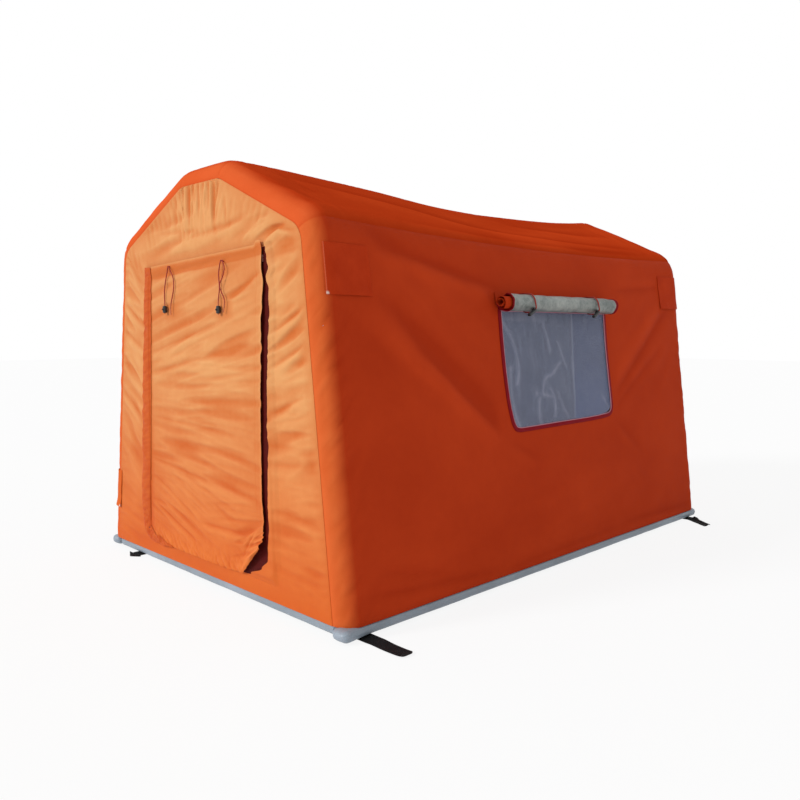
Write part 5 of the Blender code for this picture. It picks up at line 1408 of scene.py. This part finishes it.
radius = ROLL_RADIUS - ROLL_PITCH * turn / (2 * math.pi) + (wrinkle - 0.0006) * (1 - 0.85 * tied) - 0.0004
down = ROLL_DROP + radius * np.sin(turn)
out = ROLL_STANDOFF - radius * np.cos(turn)
inner_down = ROLL_DROP + (radius - BLIND_CLOTH * 0.7) * np.sin(turn)
inner_out = ROLL_STANDOFF - (radius - BLIND_CLOTH * 0.7) * np.cos(turn)
flat_rows = len(hang)
FIRST_WRAP = int(len(spiral) / ROLL_TURNS) + 4
rise = hang[:, None] + 0 * part[:flat_rows]
down[:flat_rows] = inner_down[:flat_rows] = ROLL_DROP * rise
out[:flat_rows] = SEAM_RISE + (ROLL_RISE - SEAM_RISE) * rise + 0.0004
inner_out[:flat_rows] = out[:flat_rows] + BLIND_CLOTH * 0.7
outer, inner = by_roll(y, down, out), by_roll(y, inner_down, inner_out)
length = np.concatenate([[0], np.cumsum(np.hypot(np.diff(down[:, 0]), np.diff(out[:, 0])))])
uv = np.dstack([y, np.broadcast_to(length[:, None], y.shape)])
blind = cloth_piece("window_blind_roll", outer, inner, uv, SILVER, fold=np.full(y.shape, 0.45))
blind.data.materials.append(SHADED_WALL_ORANGE)
blind.data.materials.append(BEAD)
cells = (y.shape[0] - 1) * (y.shape[1] - 1)
side_of = np.ones(len(blind.data.polygons), np.int32)
side_of[:cells] = 0
column = np.tile(np.arange(y.shape[1] - 1), y.shape[0] - 1)
wrap = np.repeat(np.arange(y.shape[0] - 1), y.shape[1] - 1)
bound = ((column < 1) | (column >= y.shape[1] - 4)) & (wrap >= flat_rows) & (wrap < flat_rows + FIRST_WRAP)
shown = (wrap >= flat_rows + FIRST_WRAP - 8) & (column < 12)
side_of[:cells][shown] = 1
side_of[:cells][bound] = 2
side_of[cells:2 * cells][bound] = 2
blind.data.polygons.foreach_set("material_index", side_of)
dress(blind, "blind", "silver_lining", "window_blind")

for label, column_at, inset in (("front", 0, 0.0010), ("rear", -1, 0.0030)):
    wound = slice(flat_rows, flat_rows + FIRST_WRAP)
    middle = (outer[wound, column_at] + inner[wound, column_at]) / 2 + [0, inset, 0]
    piping = cord_piece(f"blind_{label}_piping", [Vector(p) for p in middle], PIPING, BEAD)
    piping.data.bevel_resolution = 2
    dress(piping, "blind", "red_binding")

# Blind ties: dark red elastic cords from the blind's seam over the roll. Each runs through a black cord lock
# under the roll, which has a small lever.
TIE_GAP = 0.0019
LOCK_RADIUS, LOCK_TURN, LOCK_LENGTH = 0.010, math.radians(50), 0.022
LEVER_SIZE = (0.062, 0.018, 0.012)
LEVER_WAY = Vector((0.05, -0.90, -0.43))
BLIND_TIE_DIAMETER = 0.007


def on_roll(turn, height):
    """How far down and out a place over the wound cloth is; turn runs from straight out to the ground."""
    stand = ROLL_RADIUS - ROLL_PITCH * (math.pi - turn) / (2 * math.pi) + TIE_GAP + height
    return np.array([ROLL_DROP + stand * math.sin(turn), ROLL_STANDOFF + stand * math.cos(turn)])


sewn = SEAM_RISE + BLIND_CLOTH + (ROLL_RISE - SEAM_RISE) / ROLL_DROP * 0.0065 + 0.0006
route = [np.array([0.004 + 0.05 * rise, sewn + rise]) for rise in (0.0, 0.010, 0.020, 0.032)]
route.append(on_roll(math.radians(-100), 0.0045))
route += [on_roll(math.radians(turn), 0.0025) for turn in range(-85, 0, 12)]
route.append(on_roll(0.0, 0.0025))
lock_place = on_roll(LOCK_TURN, LOCK_RADIUS)
lock_way = np.array([math.cos(LOCK_TURN), -math.sin(LOCK_TURN)])
route += [lock_place + lock_way * LOCK_LENGTH * share for share in (-0.8, -0.5, 0.0, 0.5, 0.8)]
route += [on_roll(LOCK_TURN + math.radians(turn), 0.0025) for turn in (50, 62, 74)]
for label, tie_y in TIE_Y.items():
    line = smooth_line([by_roll(np.float64(tie_y), *place) for place in route], 4)
    tie = cord_piece(f"{label}_blind_elastic", line, BLIND_TIE_DIAMETER, ELASTIC)
    dress(tie, "blind", "red_elastic", f"{label}_blind_tie")
    lock, button = nodes[f"{label}_blind_lock"], nodes[f"{label}_blind_lock_button"]
    refinish(MOULDED, lock.name, button.name)
    round(line_length(line), 3)
    centre = by_roll(np.float64(tie_y - 0.026), *(lock_place + [0.014, 0.006]))
    bpy.ops.object.select_all(action="DESELECT")
    bpy.ops.mesh.primitive_cube_add(size=1, location=(0, 0, 0))
    lever = bpy.context.object
    lever.name = f"{label}_blind_lever"
    lever.scale = LEVER_SIZE
    bpy.ops.object.transform_apply(scale=True)
    soften = lever.modifiers.new("soften", "BEVEL")
    soften.width, soften.segments = 0.0022, 3
    bpy.ops.object.modifier_apply(modifier=soften.name)
    lever.location = centre
    lever.rotation_euler = LEVER_WAY.to_track_quat("X", "Z").to_euler()
    bpy.ops.object.transform_apply(location=True, rotation=True)
    bpy.ops.object.shade_smooth()
    lever.data.materials.append(MOULDED)
    dress(lever, "blind", "black_plastic")
    lever.select_set(False)

# Flaps: squares of the cover's cloth over the valves, sewn on along their top edges. The edge towards the
# end is stitched in a paler yarn. The low one reaches on round the corner's tube to the front.
# The valves under them are moulded black plastic, each in a recess of its beam.
FLAP_RUN = (1.2252, 1.4602)
LOW_FLAP_REACH = 1.5700
FLAP_TALL, FLAP_HEM, FLAP_TURN = 0.205, 0.013, 1.490
TACK_INSET, TACK_SIZE = 0.006, 0.005


def patch_finish():
    """The flaps' cloth: the walls' painted-shade cloth, with a turned edge and a row of paler stitches in
    it.
    """
    made = Finish("orange_flap_cloth", (0.60, 0.05, 0.012), 0.6, Specular_IOR_Level=0.02)
    u, v, _ = made.split(made.uv())
    gap = made.attribute("edge")
    weave = made.waves(u, 0.0011) * 0.5 + made.waves(v, 0.0011) * 0.5
    cloud = made.noise(9.0, 5.0, 0.62)
    hem = 1.0 - ((gap - 0.005) * 900.0).clamp()
    stitch = made.waves(u + v, 0.0055, 2.0) * (1.0 - ((gap - 0.004).math("ABSOLUTE") * 500.0).clamp())
    colour = made.mix(((cloud - 0.3) * 1.6).clamp(), (0.48, 0.036, 0.007), (0.61, 0.055, 0.012))
    colour = made.mix((hem * 0.30).clamp(), colour, (0.78, 0.15, 0.055))
    colour = made.mix((stitch * 0.6).clamp(), colour, (0.86, 0.36, 0.22))
    # Painted light: the part turned round the corner's tube to face the door end takes the ends' lit colour.
    colour = made.mix(made.attribute("turned"), colour, (0.64, 0.125, 0.024))
    made.colour(made.mix(made.attribute("tack"), colour, (0.85, 0.66, 0.58)))
    made.rough((cloud * 0.2 + 0.48).clamp())
    made.bump(hem * 0.8 + weave * 0.15 + stitch, 0.0010, 0.6)
    return made.made


PATCH = patch_finish()
for name, side, end in (("front_upper_flap", 1, -1), ("rear_upper_flap", 1, 1), ("inflation_flap", -1, -1)):
    low, high = (Vector(c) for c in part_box(name))
    reach = FLAP_RUN[1] if side > 0 else LOW_FLAP_REACH
    u, z = np.meshgrid(end * np.linspace(FLAP_RUN[0], reach, 70),
                       np.linspace(low.z + 0.001, high.z - 0.001, 50))
    to_end = reach - np.abs(u)
    gap = -beyond_box(np.abs(u), z, FLAP_RUN[0], reach, z[0, 0], z[-1, 0])
    tack = unit(1.6 - np.hypot(to_end - TACK_INSET, z - z[0, 0] - TACK_INSET) / TACK_SIZE)
    free = unit((z[-1, 0] - z) / 0.10)
    # The part of the low flap turned round to face the door end, for the finish's painted light.
    turned = unit((np.abs(u) - FLAP_TURN) / 0.015)
    puff = 0.0022 * free * (lattice(u / 0.09, z / 0.08, 501 + int(low.z * 10)) + 0.6)
    puff = puff + 0.0062 * hill(z, z[0, 0], 0.030) * (0.6 + lattice(u / 0.07, z / 0.2, 505))
    hem = 0.0008 * unit((FLAP_HEM - gap) / 0.003)
    pinned = unit(gap / 0.004) ** 0.5
    outer = wall_skin(u, z, 0.0026 + puff + hem + 0.0008 * pinned, side)
    inner = wall_skin(u, z, 0.0012 + puff, side)
    uv = np.dstack([u, z])
    flap = cloth_piece(f"{name}_cloth", outer, inner, uv, PATCH, edge=to_end, tack=tack, turned=turned)
    dress(flap, name, "orange_oxford", name)
    round(reach - FLAP_RUN[0], 3)

refinish(MOULDED, "front_relief_valve", "front_relief_poppet", "rear_relief_valve", "rear_relief_poppet",
         "inflation_valve", "inflation_plunger", "inflation_cap")


def enamel_finish():
    """Cast zinc with dark red enamel, rubbed bare in places."""
    made = Finish("slider_enamel", (0.10, 0.008, 0.008), 0.35, Metallic=0.6)
    wear = made.noise(320.0, 4.0, 0.7)
    made.colour(made.mix(((wear - 0.5) * 4.0).clamp(), (0.10, 0.008, 0.008), (0.36, 0.30, 0.26)))
    made.rough((wear * 0.3 + 0.2).clamp())
    made.bump(wear, 0.0001, 0.4)
    return made.made


refinish(enamel_finish(), "left_zip_slider", "right_zip_slider")

# Ground straps: flat black polypropylene webbing, sewn to the groundsheet's edge under the base tubes. The
# rear right one lies twisted, and the front left one is tucked under the front.
STRAP_WIDTH = 0.076
STRAP_STAND = 0.0008
WEBBING_THICK = 0.0024
STRAP_Y = 1.395
ROOT_IN, ROOT_OUT, TAIL_START = 0.9712, 1.0212, 1.0216


def webbing_finish():
    """Black webbing: ribs along its length, fine slanting yarns across them, and ground dust."""
    made = Finish("black_webbing", (0.012, 0.012, 0.014), 0.7, Specular_IOR_Level=0.15)
    across, along, _ = made.split(made.uv())
    ribs = made.waves(across, 0.0063, 0.6)
    yarns = made.waves(along + across * 0.5, 0.0021) * made.waves(along - across * 0.5, 0.0021)
    dust = made.noise(24.0, 6.0, 0.72)
    pale = ((dust - 0.45) * 1.6 + yarns * 0.25).clamp()
    made.colour(made.mix(pale, (0.005, 0.005, 0.006), (0.026, 0.025, 0.024)))
    made.rough((dust * 0.3 + 0.5).clamp())
    made.bump(ribs + yarns * 0.7, 0.0009, 0.8)
    return made.made


WEBBING = webbing_finish()


def strap_piece(name, body, node, corners, rise, flat):
    """Webbing between two corners at its root and two at its tip. Rise is its height over the ground."""
    root_left, root_right, tip_right, tip_left = (np.array(c) for c in corners)
    s, w = np.meshgrid(np.linspace(0, 1, 60), np.linspace(0, 1, 26), indexing="ij")
    left_side = root_left * (1 - s)[..., None] + tip_left * s[..., None]
    right_side = root_right * (1 - s)[..., None] + tip_right * s[..., None]
    ground = left_side * (1 - w)[..., None] + right_side * w[..., None]
    corner = np.abs(2 * w - 1) ** 6
    ground = ground - ((tip_left - root_left) * 0.055)[None, None] * (corner * s ** 12)[..., None]
    height = rise(s, w)
    rib = 0.0003 * np.abs(np.sin(w * math.pi * 12))
    top = np.dstack([ground, STRAP_STAND + WEBBING_THICK + height + rib])
    under = np.dstack([ground, STRAP_STAND + height])
    uv = np.dstack([w * flat[0], s * flat[1]])
    strap = cloth_piece(name, top, under, uv, WEBBING)
    dress(strap, body, "black_webbing", node)


def lying(s, w):
    """The front right tail: a slow wave, its tip a little raised and its far edge turned up."""
    wave = 0.0015 * np.sin(s * 5.2 + 0.5) ** 2 * unit(s * 5)
    return wave + 0.005 * unit((s - 0.70) / 0.30) ** 2 + 0.002 * unit(s * 2) * (1 - w) ** 3


def twisted(s, w):
    """The rear right tail: folded along its length and crumpled near its root."""
    ridge = 0.012 * hill(w, 0.62, 0.20) * unit(s * 6) * (1 - 0.45 * s)
    hump = 0.010 * hill(s, 0.20, 0.12) * unit(1.3 * w)
    return np.maximum(ridge + hump + 0.003 * lattice(s * 6, w * 3, 521) * unit(s * 6), 0)


def resting(s, w):
    """The hidden rear left tail: nearly flat."""
    return 0.004 * np.sin(s * 4.0) ** 2 * unit(s * 5) + 0.003 * w ** 3 * s


def tucked(s, w):
    """The front left tail's short end: one low arch."""
    return 0.0045 * np.sin(unit(s) * math.pi) * (0.4 + 0.6 * w)


def level(s, w):
    """The sewn roots: flat."""
    return 0 * s


for name, side, end, far_tip, near_tip, rise, length in (
        ("front_right_strap", 1, -1, (1.243, -1.372), (1.246, -1.440), lying, 0.228),
        ("rear_right_strap", 1, 1, (1.184, 1.325), (1.172, 1.262), twisted, 0.172),
        ("rear_left_strap", -1, 1, (-1.184, 1.428), (-1.180, 1.352), resting, 0.165)):
    first, last = end * STRAP_Y - STRAP_WIDTH / 2, end * STRAP_Y + STRAP_WIDTH / 2
    corners = ((side * TAIL_START, first), (side * TAIL_START, last), far_tip, near_tip)
    strap_piece(f"{name}_webbing", name, name, corners, rise, (STRAP_WIDTH, length))
    corners = ((side * ROOT_IN, first), (side * ROOT_IN, last),
               (side * ROOT_OUT, last), (side * ROOT_OUT, first))
    strap_piece(f"{name}_root_webbing", "tent", f"{name}_root", corners, level, (STRAP_WIDTH, 0.050))
corners = ((-0.784, -1.5066), (-0.657, -1.5066), (-0.651, -1.5100), (-0.697, -1.5480))
strap_piece("front_left_strap_webbing", "front_left_strap", "front_left_strap", corners, tucked,
            (STRAP_WIDTH, 0.055))
corners = ((-0.751, -1.450), (-0.675, -1.450), (-0.675, -1.5058), (-0.751, -1.5058))
strap_piece("front_left_strap_root_webbing", "tent", "front_left_strap_root", corners, level,
            (STRAP_WIDTH, 0.056))
